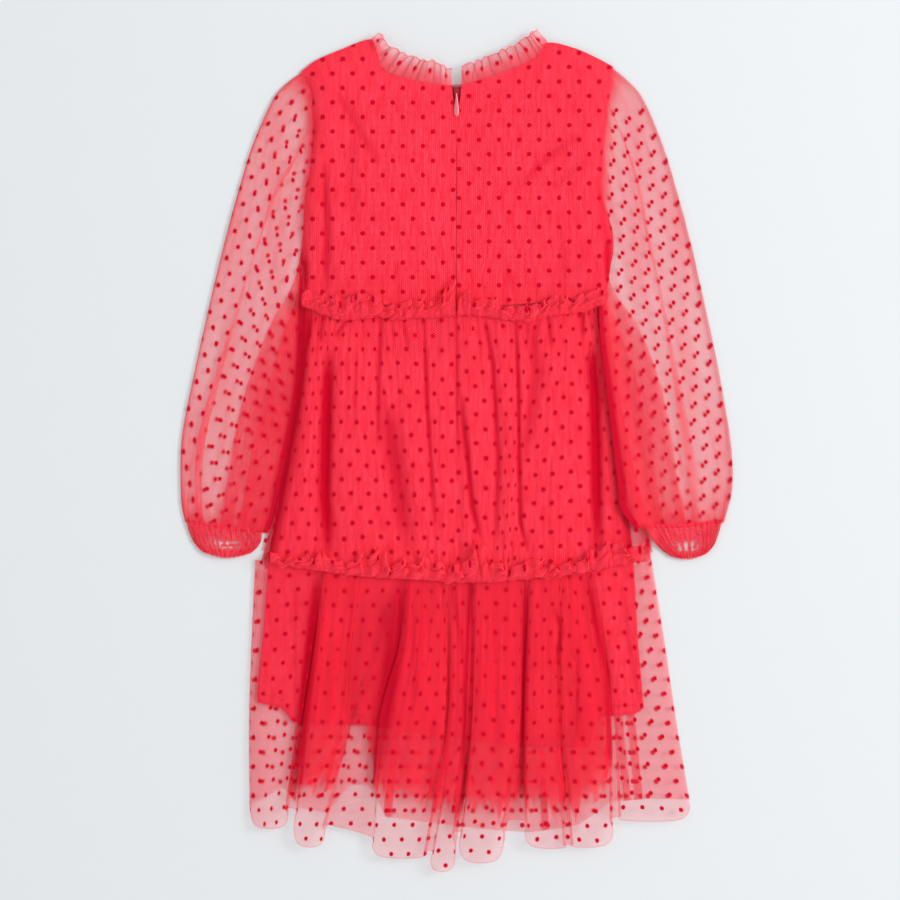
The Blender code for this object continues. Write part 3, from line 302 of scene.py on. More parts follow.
# Where the sleeve's inner folds begin, and its narrow tuck's place and width, in the same rows
SLEEVE_FOLD_ROWS = [0.97, 0.95, 0.9, 0.8, 0.67, 0.57, 0.52, 0.53, 0.48, 0.44]
SLEEVE_SECOND_ROWS = [1.0, 1.0, 0.97, 0.9, 0.82, 0.76, 0.72, 0.72, 0.7, 0.68]
SLEEVE_TUCK_LEFT = [0.42, 0.4, 0.36, 0.34, 0.3, 0.26, 0.22, 0.2, 0.2, 0.22]
SLEEVE_TUCK_RIGHT = [0.3, 0.32, 0.34, 0.36, 0.38, 0.39, 0.4, 0.39, 0.36, 0.34]
SLEEVE_TUCK_WIDTHS = [0.0, 0.015, 0.02, 0.015, 0.015, 0.02, 0.035, 0.045, 0.04, 0.03]
SLEEVE_HOLLOW = 2.4
SLEEVE_INSIDE = 2.5
SLEEVE_TURN = (0.2, 0.98)
# Flat cloth in each millimetre across and down a sleeve, and how far its layers' dots are apart
SLEEVE_LET_OUT = (1.25, 1.03)
LAYER_SHIFT = (3.6, 2.6)
# Turns of the loop round a sleeve, of SLEEVE_LOOP, at which its layers are parted
SLEEVE_LOOP = 40
SLEEVE_PARTS = (0, 7, 12, 17, 21, 25, 40)
SKIRT_COVER = [(-5.0, 0.0), (0.0, 3.2), (4.5, 6.4), (10.0, 8.2), (20.0, 9.0)]
SKIRT_COVER_LEAD = 2.0
CUFF_LEFT = [
    Section(-221.4, 404.2, -160.0, 412.8, -2.0, 0.6),
    Section(-219.5, 412.0, -160.0, 419.5, -3.0, 0.4),
    Section(-214.5, 421.0, -164.0, 425.0, -4.0, 0.5),
    Section(-208.0, 427.0, -170.0, 428.5, -5.0, 1.0),
]
CUFF_RIGHT = [
    Section(218.0, 404.8, 151.6, 409.3, -2.0, 0.6),
    Section(214.8, 414.0, 160.0, 419.5, -3.0, 0.4),
    Section(210.6, 423.0, 169.0, 427.0, -4.0, 0.5),
    Section(204.5, 428.5, 176.0, 430.5, -4.0, 1.0),
]
CUFF_GATHERS = 19
CUFF_RADIUS = 34.0
CUFF_LENGTH = 26.0

NECK_EDGE_LEFT = [
    (-64.0, 3.0), (-61.0, 6.0), (-54.5, 14.0), (-41.4, 20.5), (-29.9, 24.6), (-17.6, 27.0),
    (-3.9, 33.5),
]
NECK_EDGE_RIGHT = [
    (3.9, 30.5), (16.8, 26.2), (22.5, 23.8), (38.1, 17.2), (48.8, 12.3), (60.0, 4.0), (66.0, 0.6),
]
NECK_PLEATS = 13
NECK_FRONT_PLEATS = 22
FRONT_FRILL_WIDTH = 13.0

# Frills on the seams: the upper outline, a row for each turn, and the lower outline
WAIST_FRILL_LEFT = [
    (-126.7, 214.0), (-116.0, 213.5), (-111.0, 217.5), (-105.4, 215.5), (-91.4, 217.5),
    (-82.4, 214.0), (-64.0, 214.8), (-60.3, 224.0), (-53.7, 224.5), (-38.1, 220.6),
    (-29.1, 219.0), (-18.5, 223.5), (-14.5, 219.0), (-8.6, 210.7), (-0.6, 202.0),
]
WAIST_FRILL_RIGHT = [
    (0.8, 222.0), (7.8, 209.0), (14.4, 220.6), (25.0, 217.5), (31.6, 219.8), (40.5, 227.0),
    (55.4, 224.5), (66.0, 222.0), (72.6, 221.0), (82.4, 215.0), (93.9, 221.0), (110.3, 212.4),
    (121.6, 210.7),
]
WAIST_FRILL_FOOT = [
    (-128.0, 226.0), (-108.0, 234.0), (-98.0, 238.0), (-75.0, 238.0), (-60.0, 234.0),
    (-53.0, 238.0), (14.0, 234.0), (40.0, 238.0), (60.0, 240.0), (77.0, 235.0), (103.0, 232.0),
    (122.0, 225.0),
]
TIER2_FRILL = [
    (-152.5, 424.0), (-150.0, 429.0), (-144.7, 433.0), (-131.6, 431.3), (-124.2, 429.0),
    (-116.9, 430.0), (-107.8, 424.0), (-103.7, 429.0), (-99.6, 436.0), (-84.9, 434.0),
    (-80.8, 429.7), (-75.0, 432.0), (-66.0, 424.0), (-58.6, 425.6), (-55.6, 437.0),
    (-45.0, 433.0), (-32.4, 436.0), (-28.3, 429.7), (-22.0, 430.0), (-12.7, 437.0),
    (-1.2, 436.0), (9.0, 430.5), (13.5, 416.6), (19.8, 419.0), (23.6, 430.0), (33.2, 434.6),
    (38.1, 438.5), (48.8, 436.0), (64.4, 430.0), (73.4, 437.5), (98.0, 434.0), (104.6, 429.5),
    (111.1, 421.5), (117.7, 422.3), (126.7, 418.0), (132.4, 417.4), (135.0, 423.0),
    (143.0, 421.0), (148.5, 418.5),
]
TIER2_FRILL_FOOT = [
    (-152.0, 437.0), (-123.0, 442.0), (-100.0, 445.0), (-70.0, 449.0), (-43.0, 450.0),
    (0.0, 453.0), (30.0, 453.0), (60.0, 450.0), (100.0, 446.0), (148.0, 436.0),
]
FRILL_SEAM_Z = 8.3
FRILL_RISE = 3.6
# A frill's second layer: how far up it reaches, and how high it lies over the first
FRILL_SECOND_REACH = 0.42
FRILL_SECOND_LIFT = 1.2
FRONT_BAND_HALF = 7.0

ZIP_TAPE_HALF = 5.5
ZIP_TAPE_TOP = 47.5
ZIP_TAPE_END = 324.0
# Height of the tape in the bodice and in the skirt, and where and over how far it changes
ZIP_TAPE_Z = (5.2, 4.9)
ZIP_TAPE_STEP = (205.0, 25.0)
TEETH_TOP = 47.0
TEETH_JOIN = 53.0
TEETH_PAST_JOIN = 16.0
TEETH_PITCH = 1.15
TEETH_APART = 3.1
# How far a tooth reaches from its row outwards and inwards, its height and its rise
TOOTH_REACH = (1.3, -0.25)
TOOTH_Z = 5.6
TOOTH_RISE = 0.7
HINGE_DOWN = 53.2
HINGE_Z = 8.0
PULL_HALF_THICKNESS = 0.48
PULL_SHAPE = [(-0.5, 0.7), (2.2, 0.7), (5.3, 1.15), (10.2, 1.75), (14.6, 2.1), (17.2, 1.6),
              (18.4, 0.2)]

CAMERA_DISTANCE = 3000.0
CAMERA_CENTRE = (-5.33, -0.41)
FRAME_WIDTH = 738.0
SENSOR = 36.0
FLOOR_HALF = 3000.0
SOFTBOX_WIDTH = 1.6
FURTHEST_SEEN = 20.0
# Light passes so many layers of net, and is handed on so often by matt cloth
NET_LAYERS_SEEN = 32
LIGHT_BOUNCES = 8


# Lines, surfaces and meshes

def spline(table, count, axis=0, through=True):
    """Resample a table along an axis: a Catmull-Rom line through its values, or a B-spline near."""
    table = np.moveaxis(np.asarray(table, float), axis, 0)
    ends = (2 * table[:1] - table[1:2], 2 * table[-1:] - table[-2:-1])
    table = np.concatenate([ends[0], table, ends[1]])
    places = np.linspace(0, len(table) - 3, count)
    step = np.minimum(places.astype(int), len(table) - 4)
    f = (places - step).reshape([-1] + [1] * (table.ndim - 1))
    if through:
        weights = ((-f + 2 * f**2 - f**3) / 2, (2 - 5 * f**2 + 3 * f**3) / 2,
                   (f + 4 * f**2 - 3 * f**3) / 2, (f**3 - f**2) / 2)
    else:
        weights = ((1 - f)**3 / 6, (4 - 6 * f**2 + 3 * f**3) / 6,
                   (1 + 3 * f + 3 * f**2 - 3 * f**3) / 6, f**3 / 6)
    made = sum(weight * table[step + i] for i, weight in enumerate(weights))
    return np.moveaxis(made, 0, axis)


def line(points, across):
    """The down value of a line through a table of points, at places across."""
    table = np.array(points)
    return np.interp(across, table[:, 0], table[:, 1])


def between(start, end, share):
    """A value part of the way from start to end."""
    return start + (end - start) * share


def ease(share):
    """A smooth step from 0 to 1."""
    share = np.clip(share, 0.0, 1.0)
    return share * share * (3 - 2 * share)


def slope(table, inwards):
    """Height at a distance inwards from a side, from a table of distance and height."""
    distance, height = np.array(table).T
    return np.interp(inwards, distance, height)


def along(points, shares):
    """Points at shares of the length of a line through a table of points."""
    table = np.array(points, float)
    steps = np.linalg.norm(np.diff(table, axis=0), axis=1)
    run = np.concatenate([[0.0], np.cumsum(steps)]) / steps.sum()
    return np.stack([np.interp(shares, run, column) for column in table.T], axis=-1)


def arc(points, axis=1):
    """Running length along rows of points."""
    steps = np.linalg.norm(np.diff(points, axis=axis), axis=-1)
    start = np.zeros_like(np.take(steps, [0], axis=axis))
    return np.concatenate([start, np.cumsum(steps, axis=axis)], axis=axis)


def creases_at(across, down, creases):
    """How deep each point lies in the creases.

    A crease is a bell curve across its line, and is shallower at the line's ends.
    """
    deepest = np.zeros(np.broadcast(across, down).shape)
    for crease in creases:
        points = np.array(crease.line, float)
        off, place = np.full(deepest.shape, np.inf), np.zeros(deepest.shape)
        for number, (start, run) in enumerate(zip(points, np.diff(points, axis=0))):
            share = ((across - start[0]) * run[0] + (down - start[1]) * run[1]) / (run @ run)
            share = np.clip(share, 0.0, 1.0)
            away = np.hypot(across - start[0] - share * run[0], down - start[1] - share * run[1])
            place = np.where(away < off, (number + share) / (len(points) - 1), place)
            off = np.minimum(off, away)
        depth = crease.depth * (1 - 0.75 * (2 * place - 1)**4)
        deepest = np.maximum(deepest, depth * np.exp(-(off / crease.width)**CREASE_BELL))
    return deepest


def gathers(cloth, away, seed):
    """Small gathers below a seam: ridges with sharp valleys in three sizes that die out from it."""
    draw = np.random.default_rng(seed)
    depth = np.zeros(np.broadcast(cloth, away).shape)
    for pitch, reach, height in GATHERS:
        shift, bend, drift = draw.uniform(0.0, 6.0, 3)
        warp = 1.3 * np.sin(cloth / (2.7 * pitch) + shift) + 0.8 * np.sin(cloth / pitch + bend)
        wave = np.abs(np.sin(np.pi * cloth / pitch + warp + 0.012 * away * np.sin(drift + cloth)))
        depth += height * (1 - wave**0.7) * np.exp(-(np.abs(away) / reach)**1.5)
    return depth


def ripple(across, down, seed, size, count=5):
    """A gentle uneven surface: a few crossing sine waves of about one size."""
    draw = np.random.default_rng(seed)
    made = np.zeros(np.broadcast(across, down).shape)
    for _ in range(count):
        turn, shift, scale = draw.uniform([0.0, 0.0, 0.7], [np.pi, 6.0, 1.4])
        run = across * np.cos(turn) + down * np.sin(turn)
        made += np.sin(2 * np.pi * run / (size * scale) + shift) / count
    return made


def cloth_run(across, down, height):
    """Flat width up to each column: the widest step of any row, so that no cloth stretches."""
    steps = np.diff(np.stack(np.broadcast_arrays(across, down, height), axis=-1), axis=1)
    widest = np.linalg.norm(steps, axis=-1).max(axis=0) * 1.02
    return np.concatenate([[0.0], np.cumsum(widest)])[None] + 0 * across


def patch(across, down, height, cloth, density=1.0, shade=0.0):
    """A grid of cloth: its points, flat coordinates, density, and depth in folds as painted shade.
    """
    across, down, height = np.broadcast_arrays(across, down, height)
    points = np.stack([across, LENGTH / 2 - down, height], axis=-1)
    shape = points.shape[:2]
    return Patch(points, np.stack(np.broadcast_arrays(*cloth), axis=-1),
                 np.broadcast_to(density, shape), np.broadcast_to(shade, shape))


def coarser(grid, down, across):
    """Every few rows and columns of a grid whose numbers of steps divide by them."""
    return Patch(*[values[::down, ::across] for values in grid])


def turned(grid):
    """The same cloth with its columns in the other order, so that it faces the other way."""
    return Patch(*[values[:, ::-1] for values in grid])


def is_closed(grid):
    """A grid whose last column joins its first has one more column of cloth coordinates."""
    return grid.cloth.shape[1] == grid.points.shape[1] + 1


def wrapped(values, grid):
    """Values with the first column added at the end, on a closed grid."""
    return np.concatenate([values, values[:, :1]], axis=1) if is_closed(grid) else values


def corners(values):
    """The four corner values of each cell of a grid, in the order that faces the back upwards."""
    return np.stack([values[:-1, :-1], values[1:, :-1], values[1:, 1:], values[:-1, 1:]], axis=2)


def make_object(name, points, faces, materials, kinds=None):
    """A smooth mesh object from points in millimetres and faces with equal numbers of corners."""
    mesh = bpy.data.meshes.new(name)
    mesh.vertices.add(len(points))
    mesh.vertices.foreach_set("co", (np.asarray(points) * MM).astype(np.float32).ravel())
    mesh.loops.add(faces.size)
    mesh.loops.foreach_set("vertex_index", faces.astype(np.int32).ravel())
    mesh.polygons.add(len(faces))
    starts = np.arange(0, faces.size, faces.shape[1], dtype=np.int32)
    mesh.polygons.foreach_set("loop_start", starts)
    mesh.polygons.foreach_set("use_smooth", np.ones(len(faces), bool))
    for finish in materials:
        mesh.materials.append(finish)
    if kinds is not None:
        mesh.polygons.foreach_set("material_index", np.asarray(kinds, np.int32))
    mesh.update(calc_edges=True)
    made = bpy.data.objects.new(name, mesh)
    bpy.context.scene.collection.objects.link(made)
    return made


def cloth_object(name, patches, finish, node_name):
    """One piece of cloth from its grids, with the cloth's flat coordinates as its UV map."""
    points, faces, flat, density, shade = [], [], [], [], []
    count = 0
    for grid in patches:
        rows, columns = grid.points.shape[:2]
        index = wrapped(count + np.arange(rows * columns).reshape(rows, columns), grid)
        faces.append(corners(index).reshape(-1, 4))
        flat.append(corners(grid.cloth).reshape(-1, 2))
        points.append(grid.points.reshape(-1, 3))
        density.append(grid.density.ravel())
        shade.append(grid.shade.ravel())
        count += rows * columns
    made = make_object(name, np.concatenate(points), np.concatenate(faces), [finish])
    mesh = made.data
    uv = mesh.uv_layers.new(name="cloth")
    uv.data.foreach_set("uv", (np.concatenate(flat) * MM).astype(np.float32).ravel())
    for title, values in (("gather", density), ("shade", shade)):
        layer = mesh.attributes.new(title, "FLOAT", "POINT")
        layer.data.foreach_set("value", np.concatenate(values).astype(np.float32))
    return finish_piece(made, replaces=[node_name])


def finish_piece(made, body=DRESS, replaces=()):
    """Tie a piece to its body and hide the frame's nodes that it stands for."""
    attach(made, body)
    if replaces:
        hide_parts(*replaces)
    return made


def sample(grid, row, column):
    """Values of a grid between its points: bilinear, held at its edges."""
    rows, columns = grid.shape[:2]
    row, column = np.clip(row, 0, rows - 1), np.clip(column, 0, columns - 1)
    i = np.minimum(row.astype(int), rows - 2)
    j = np.minimum(column.astype(int), columns - 2)
    a, b = (row - i)[..., None], (column - j)[..., None]
    return ((grid[i, j] * (1 - b) + grid[i, j + 1] * b) * (1 - a)
            + (grid[i + 1, j] * (1 - b) + grid[i + 1, j + 1] * b) * a)


def place_in(lines, value):
    """Where a rising or falling list reaches a value, for a list of each point."""
    falling = lines[:, -1] < lines[:, 0]
    lines = np.where(falling[:, None], -lines, lines)
    value = np.where(falling, -value, value)
    step = np.clip((lines < value[:, None]).sum(1) - 1, 0, lines.shape[1] - 2)
    each = np.arange(len(lines))
    low, high = lines[each, step], lines[each, step + 1]
    return step + np.clip((value - low) / np.where(high > low, high - low, 1.0), -1.0, 2.0)


def locate(flat, wanted):
    """Rows and columns where a grid's flat coordinates are the wanted ones, by Newton's method."""
    rows, columns = flat.shape[:2]
    points = wanted.reshape(-1, 2)
    column = np.full(len(points), columns / 2.0)
    for _ in range(3):
        near = np.clip(np.rint(column).astype(int), 0, columns - 1)
        row = place_in(flat[:, near, 1].T, points[:, 1])
        near = np.clip(np.rint(row).astype(int), 0, rows - 1)
        column = place_in(flat[near, :, 0], points[:, 0])
    for _ in range(6):
        row, column = np.clip(row, -1, rows), np.clip(column, -1, columns)
        down_step = sample(flat, row + 0.5, column) - sample(flat, row - 0.5, column)
        side_step = sample(flat, row, column + 0.5) - sample(flat, row, column - 0.5)
        miss = points - sample(flat, row, column)
        area = side_step[..., 0] * down_step[..., 1] - side_step[..., 1] * down_step[..., 0]
        area = np.where(np.abs(area) < 1e-4, np.inf, area)
        across_move = miss[..., 0] * down_step[..., 1] - miss[..., 1] * down_step[..., 0]
        down_move = miss[..., 1] * side_step[..., 0] - miss[..., 0] * side_step[..., 1]
        column, row = column + across_move / area, row + down_move / area
    miss = np.linalg.norm(sample(flat, row, column) - points, axis=-1)
    return [values.reshape(wanted.shape[:-1]) for values in (row, column, miss)]


def normals(points):
    """Unit normals of a grid of points, upwards where its rows run down and its columns right."""
    cross = np.cross(np.gradient(points, axis=0), np.gradient(points, axis=1))
    return cross / np.maximum(np.linalg.norm(cross, axis=-1, keepdims=True), 1e-9)


def dot_rings(grid, sizes, start, turn=0.0):
    """Flocked dots on a grid: small domes whose rims follow the cloth, in staggered rows."""
    points = wrapped(grid.points, grid)
    facing = normals(points)
    low, high = grid.cloth.reshape(-1, 2).min(0), grid.cloth.reshape(-1, 2).max(0)
    spin = np.array([[np.cos(turn), np.sin(turn)], [-np.sin(turn), np.cos(turn)]])
    reach = int(np.linalg.norm(high - low) / min(sizes.dot_pitch, sizes.dot_row)) + 2
    row, place = np.mgrid[-reach:reach + 1, -reach:reach + 1]
    lattice = np.stack([(place + 0.5 * (row % 2)) * sizes.dot_pitch, row * sizes.dot_row], axis=-1)
    centres = lattice.reshape(-1, 2) @ spin + np.array(start)
    centres = centres[((centres > low) & (centres < high)).all(1)]
    at_row, at_column, miss = locate(grid.cloth, centres)
    rows, columns = grid.cloth.shape[:2]
    inside = (miss < 0.1) & (at_row >= 0) & (at_row <= rows - 1) & (at_column >= 0)
    centres = centres[inside & (at_column <= columns - 1)]
    angle = np.linspace(0, 2 * np.pi, DOT_SIDES, endpoint=False)
    rim = np.stack([np.cos(angle), np.sin(angle)], axis=-1) * sizes.dot_size / 2
    uneven = np.random.default_rng(len(centres)).uniform(0.88, 1.08, (len(centres), DOT_SIDES, 1))
    wanted = np.concatenate([centres[:, None], centres[:, None] + rim * uneven], axis=1)
    at_row, at_column, _ = locate(grid.cloth, wanted)
    at_row, at_column = np.clip(at_row, 0, rows - 1), np.clip(at_column, 0, columns - 1)
    miss = np.linalg.norm(sample(grid.cloth, at_row, at_column) - wanted, axis=-1)
    whole = (miss < sizes.dot_size / 2).all(1) & (np.sum(miss > 0.15, axis=1) < DOT_SIDES - 2)
    at_row, at_column = at_row[whole], at_column[whole]
    lift = np.array([DOT_HEIGHT] + [DOT_EDGE] * DOT_SIDES)[:, None]
    return sample(points, at_row, at_column) + lift * sample(facing, at_row, at_column)


def dots_object(context, name, patches, start, turn=0.0):
    """All the flocked dots of a piece of tulle as one mesh."""
    sizes = context.scene.dress_cloth
    tops = np.concatenate([dot_rings(grid, sizes, start, turn) for grid in patches])
    count = len(tops)
    faces = (DOT_FAN[None] + np.arange(count)[:, None, None] * (DOT_SIDES + 1)).reshape(-1, 3)
    made = make_object(name, tops.reshape(-1, 3), faces, [flock_finish(context)])
    return finish_piece(made)


def cord_points(path, radius, sides=6):
    """A round cord along a path: circles of points square to the path."""
    ahead = np.gradient(path, axis=0)
    ahead = ahead / np.linalg.norm(ahead, axis=1, keepdims=True)
    up = np.array([0.0, 0.0, 1.0])
    side = np.cross(ahead, up)
    side = side / np.maximum(np.linalg.norm(side, axis=1, keepdims=True), 1e-6)
    rise = np.cross(side, ahead)
    angle = np.linspace(0, 2 * np.pi, sides, endpoint=False)
    ring = np.cos(angle)[:, None] * side[:, None] + np.sin(angle)[:, None] * rise[:, None]
    return path[:, None] + radius * ring


def cord_faces(rows, sides, first=0):
    """Quads of a cord's wall and its two ends, which close towards their first point."""
    index = first + np.arange(rows * sides).reshape(rows, sides)
    index = np.concatenate([index, index[:, :1]], axis=1)
    wall = np.stack([index[:-1, :-1], index[:-1, 1:], index[1:, 1:], index[1:, :-1]], axis=-1)
    caps = [[ring[0], ring[2 * i + 1], ring[2 * i + 2], ring[2 * i + 3]]
            for ring in (index[0, :-1][::-1], index[-1, :-1]) for i in range((sides - 2) // 2)]
    return np.concatenate([wall.reshape(-1, 4), np.array(caps)])


def cords_object(name, paths, radius, finish):
    """Threads or rolled edges: round cords along paths, as one mesh."""
    points, faces, count = [], [], 0
    for path in paths:
        rings = cord_points(path, radius)
        faces.append(cord_faces(*rings.shape[:2], count))
        points.append(rings.reshape(-1, 3))
        count += rings.shape[0] * rings.shape[1]
    made = make_object(name, np.concatenate(points), np.concatenate(faces), [finish])
    return finish_piece(made)


def stitches(path, stitch=2.6, gap=1.0):
    """Short cords, one for each stitch along a path."""
    total = np.linalg.norm(np.diff(path, axis=0), axis=1).sum()
    starts = np.arange(0.0, total - stitch, stitch + gap)
    shares = (starts[:, None] + np.linspace(0.0, stitch, 4)) / total
    found = along(path, shares)
    found[..., 2] += 0.12 * np.sin(np.pi * np.linspace(0.0, 1.0, 4))
    return list(found)


# Finishes

def node(tree, kind, inputs=None, **settings):
    """Add a shader node; inputs maps its sockets to values or to other nodes' outputs."""
    made = tree.nodes.new(kind)
    for key, value in settings.items():
        setattr(made, key, value)
    for key, value in (inputs or {}).items():
        if isinstance(value, bpy.types.NodeSocket):
            tree.links.new(value, made.inputs[key])
        else:
            made.inputs[key].default_value = value
    return made


def maths(tree, operation, first, second=0.0):
    """The output of a Math node."""
    return node(tree, "ShaderNodeMath", {0: first, 1: second}, operation=operation).outputs[0]


def mix_colour(tree, share, first, second):
    """The output of a node that mixes two colours."""
    made = node(tree, "ShaderNodeMix", {"Factor": share, 6: first, 7: second}, data_type="RGBA")
    return made.outputs[2]


def start_material(name, roughness, sheen=0.0, metallic=0.0, coat=0.0, gloss=0.04):
    """A material with a bare Principled shader, and the tree and shader to build on."""
    made = bpy.data.materials.new(name)
    made.use_nodes = True
    tree = made.node_tree
    shader = tree.nodes["Principled BSDF"]
    shader.inputs["Roughness"].default_value = roughness
    shader.inputs["Sheen Weight"].default_value = sheen
    shader.inputs["Metallic"].default_value = metallic
    shader.inputs["Coat Weight"].default_value = coat
    shader.inputs["Specular IOR Level"].default_value = gloss
    return made, tree, shader


def colour4(colour):
    """A colour property as four numbers."""
    return (*colour, 1.0)


def tinted(colour, share):
    """A colour made darker or lighter, as four numbers."""
    return (*(min(1.0, share * each) for each in colour), 1.0)


def attribute(tree, name):
    """A value that the piece's grid carries."""
    return node(tree, "ShaderNodeAttribute", attribute_name=name).outputs["Fac"]


def grain(tree, scale):
    """Fine noise in the piece's own space."""
    place = node(tree, "ShaderNodeTexCoord").outputs["Object"]
    inputs = {"Vector": place, "Scale": scale, "Detail": 2.0}
    return node(tree, "ShaderNodeTexNoise", inputs).outputs[0]


def colour_and_relief(tree, shader, tone, height, strength, depth):
    """Give a shader its colour and a fine relief."""
    tree.links.new(tone, shader.inputs["Base Color"])
    inputs = {"Height": height, "Strength": strength, "Distance": depth}
    tree.links.new(node(tree, "ShaderNodeBump", inputs).outputs[0], shader.inputs["Normal"])


def net_mask(tree, flat, pitch):
    """Threads of a honeycomb net: low places of three cosine waves at 60 degrees to each other."""
    total = None
    for turn in (0.0, np.pi / 3, 2 * np.pi / 3):
        wave = 2 * np.pi / (pitch * MM * 0.866)
        direction = (wave * float(np.cos(turn)), wave * float(np.sin(turn)), 0.0)
        dot = node(tree, "ShaderNodeVectorMath", {0: flat, 1: direction}, operation="DOT_PRODUCT")
        cosine = maths(tree, "COSINE", dot.outputs["Value"])
        total = cosine if total is None else maths(tree, "ADD", total, cosine)
    ramp = node(tree, "ShaderNodeMapRange", {"Value": total, 1: 0.9, 2: -0.9, 3: 0.0, 4: 1.0})
    return ramp.outputs[0]


def streaks(tree, flat, scale, stretch, detail=3.0):
    """Noise that is drawn out along the cloth's length."""
    inputs = {"Vector": flat, "Scale": (scale, scale / stretch, 1.0)}
    squeezed = node(tree, "ShaderNodeMapping", inputs).outputs[0]
    inputs = {"Vector": squeezed, "Scale": 1.0, "Detail": detail}
    return node(tree, "ShaderNodeTexNoise", inputs).outputs[0]


def net_finish(context, name="tulle", share=None, deep=0.9, colour=None):
    """Sheer net: honeycomb threads of coral red, denser where the cloth is gathered."""
    found = bpy.data.materials.get(name)
    if found:
        return found
    sizes = context.scene.dress_cloth
    made, tree, shader = start_material(name, 0.7)
    flat = node(tree, "ShaderNodeUVMap", uv_map="cloth").outputs[0]
    mask = net_mask(tree, flat, sizes.net_pitch)
    shade = attribute(tree, "shade")
    strength = (sizes.net_share if share is None else share) / NET_MASK_MEAN
    cover = maths(tree, "MULTIPLY", mask, attribute(tree, "gather"))
    cover = maths(tree, "MULTIPLY", cover, strength)
    alpha = node(tree, "ShaderNodeClamp", {"Value": cover, "Min": 0.0, "Max": 0.97}).outputs[0]
    thread = streaks(tree, flat, 320.0, 8.0)
    colours = (sizes.net_colour, sizes.net_light) if colour is None else (colour, colour)
    colour = mix_colour(tree, thread, *[colour4(each) for each in colours])
    # Painted shade: the thread's colour is mixed towards the shade colour by the shade attribute
    # times deep
    shade = maths(tree, "MULTIPLY", shade, deep)
    colour = mix_colour(tree, shade, colour, colour4(sizes.painted_shade_colour))
    tree.links.new(alpha, shader.inputs["Alpha"])
    colour_and_relief(tree, shader, colour, mask, 0.25, 0.0002)
    return made


def cloth_finish(name, colour, light, deep):
    """Opaque cloth: a fine weave with crinkles drawn out along its length, and painted shade in
    folds.
    """
    found = bpy.data.materials.get(name)
    if found:
        return found
    made, tree, shader = start_material(name, 0.75)
    flat = node(tree, "ShaderNodeUVMap", uv_map="cloth").outputs[0]
    fine = maths(tree, "MULTIPLY", streaks(tree, flat, 900.0, 9.0), 0.5)
    broad = maths(tree, "MULTIPLY", streaks(tree, flat, 330.0, 8.0, 2.0), 0.5)
    mixed = maths(tree, "ADD", fine, broad)
    limits = {"Value": mixed, 1: 0.38, 2: 0.62, 3: 0.0, 4: 1.0}
    level = node(tree, "ShaderNodeMapRange", limits).outputs[0]
    tone = mix_colour(tree, level, colour4(colour), colour4(light))
    # Painted shade: the colour is mixed towards deep, the shade colour, where the shade attribute
    # is high
    tone = mix_colour(tree, attribute(tree, "shade"), tone, colour4(deep))
    colour_and_relief(tree, shader, tone, mixed, 0.5, 0.0006)
    return made


def lining_finish(context):
    """The crinkled coral lining."""
    sizes = context.scene.dress_cloth
    # Its painted shade is mixed towards the shade colour
    return cloth_finish("crinkled_lining", sizes.lining_colour, sizes.lining_light,
                        sizes.painted_shade_colour)


def flock_finish(context):
    """Velvety dots: short fibres that catch light at their edges."""
    found = bpy.data.materials.get("flock")
    if found:
        return found
    made, tree, shader = start_material("flock", 0.9, sheen=0.05)
    noise = grain(tree, 900.0)
    colour = context.scene.dress_cloth.dot_colour
    tone = mix_colour(tree, noise, colour4(colour), tinted(colour, 1.35))
    colour_and_relief(tree, shader, tone, noise, 0.4, 0.0002)
    return made


def thread_finish(name, colour, roughness=0.6, metallic=0.0, coat=0.0):
    """Thread, tape or enamel: a plain colour broken up by a fine twist."""
    found = bpy.data.materials.get(name)
    if found:
        return found
    made, tree, shader = start_material(name, roughness, 0.0, metallic, coat, 0.4)
    noise = grain(tree, 1500.0)
    tone = mix_colour(tree, noise, tinted(colour, 0.85), tinted(colour, 1.15))
    colour_and_relief(tree, shader, tone, noise, 0.2, 0.0001)
    return made


def floor_finish(context):
    """A matt pale ground with a barely visible grain."""
    made, tree, shader = start_material("ground", 0.9)
    colour = context.scene.dress_stage.floor_colour
    tone = mix_colour(tree, grain(tree, 40.0), tinted(colour, 0.995), tinted(colour, 1.005))
    tree.links.new(tone, shader.inputs["Base Color"])
    return made


# Bodice

def bodice_half(top, side, climb):
    """Across, down and height of one half of the back bodice.

    Each row runs from the zip to the side in the top line's proportions, each column from the top
    line to the waist in the side line's. The height is the slope at the side, with a swell that
    fades towards the side, the zip and both ends, times how far the shoulder has climbed.
    """
    top, side = np.array(top), np.array(side)
    sign = np.sign(side[0, 0])
    centre = sign * np.array(ZIP_MOUTH)[:, None]
    part = (top[:, 0] - sign * ZIP_MOUTH[0]) / (side[0, 0] - sign * ZIP_MOUTH[0])
    across = between(centre, side[:, :1], part)
    foot = line(WAIST_SEAM, across[-1])
    shares = np.clip((side[:, 1] - side[0, 1]) / (line(WAIST_SEAM, side[-1, 0]) - side[0, 1]), 0, 1)
    down = between(top[:, 1], foot, shares[:, None])
    plan = spline(spline(np.stack([across, down], axis=-1), BODICE_ROWS, 0), BODICE_COLUMNS, 1)
    across, down = plan[..., 0], plan[..., 1]
    edge = across[:, :1] if sign * top[0, 0] > sign * top[-1, 0] else across[:, -1:]
    inwards = np.abs(edge - across)
    rows = np.linspace(0, len(ZIP_MOUTH) - 1, BODICE_ROWS)[:, None]
    loft = np.interp(rows, np.arange(len(ZIP_MOUTH)), BODICE_LOFT_ROWS) * BODICE_LOFT
    loft = loft * np.clip(inwards / BODICE_LOFT_EDGE, 0, 1)
    loft = loft * np.clip(np.abs(across) / ZIP_FLAT_WIDTH, 0, 1)
    height = slope(BODICE_SIDE_SLOPE, inwards)
    columns = np.linspace(0, len(climb) - 1, BODICE_COLUMNS)
    climbed = np.interp(columns, np.arange(len(climb)), climb)
    climbed = climbed + (1 - climbed) * np.clip(rows, 0, 1)
    low = BODICE_SIDE_SLOPE[0][1]
    return across, down, low + (height + loft - low) * climbed


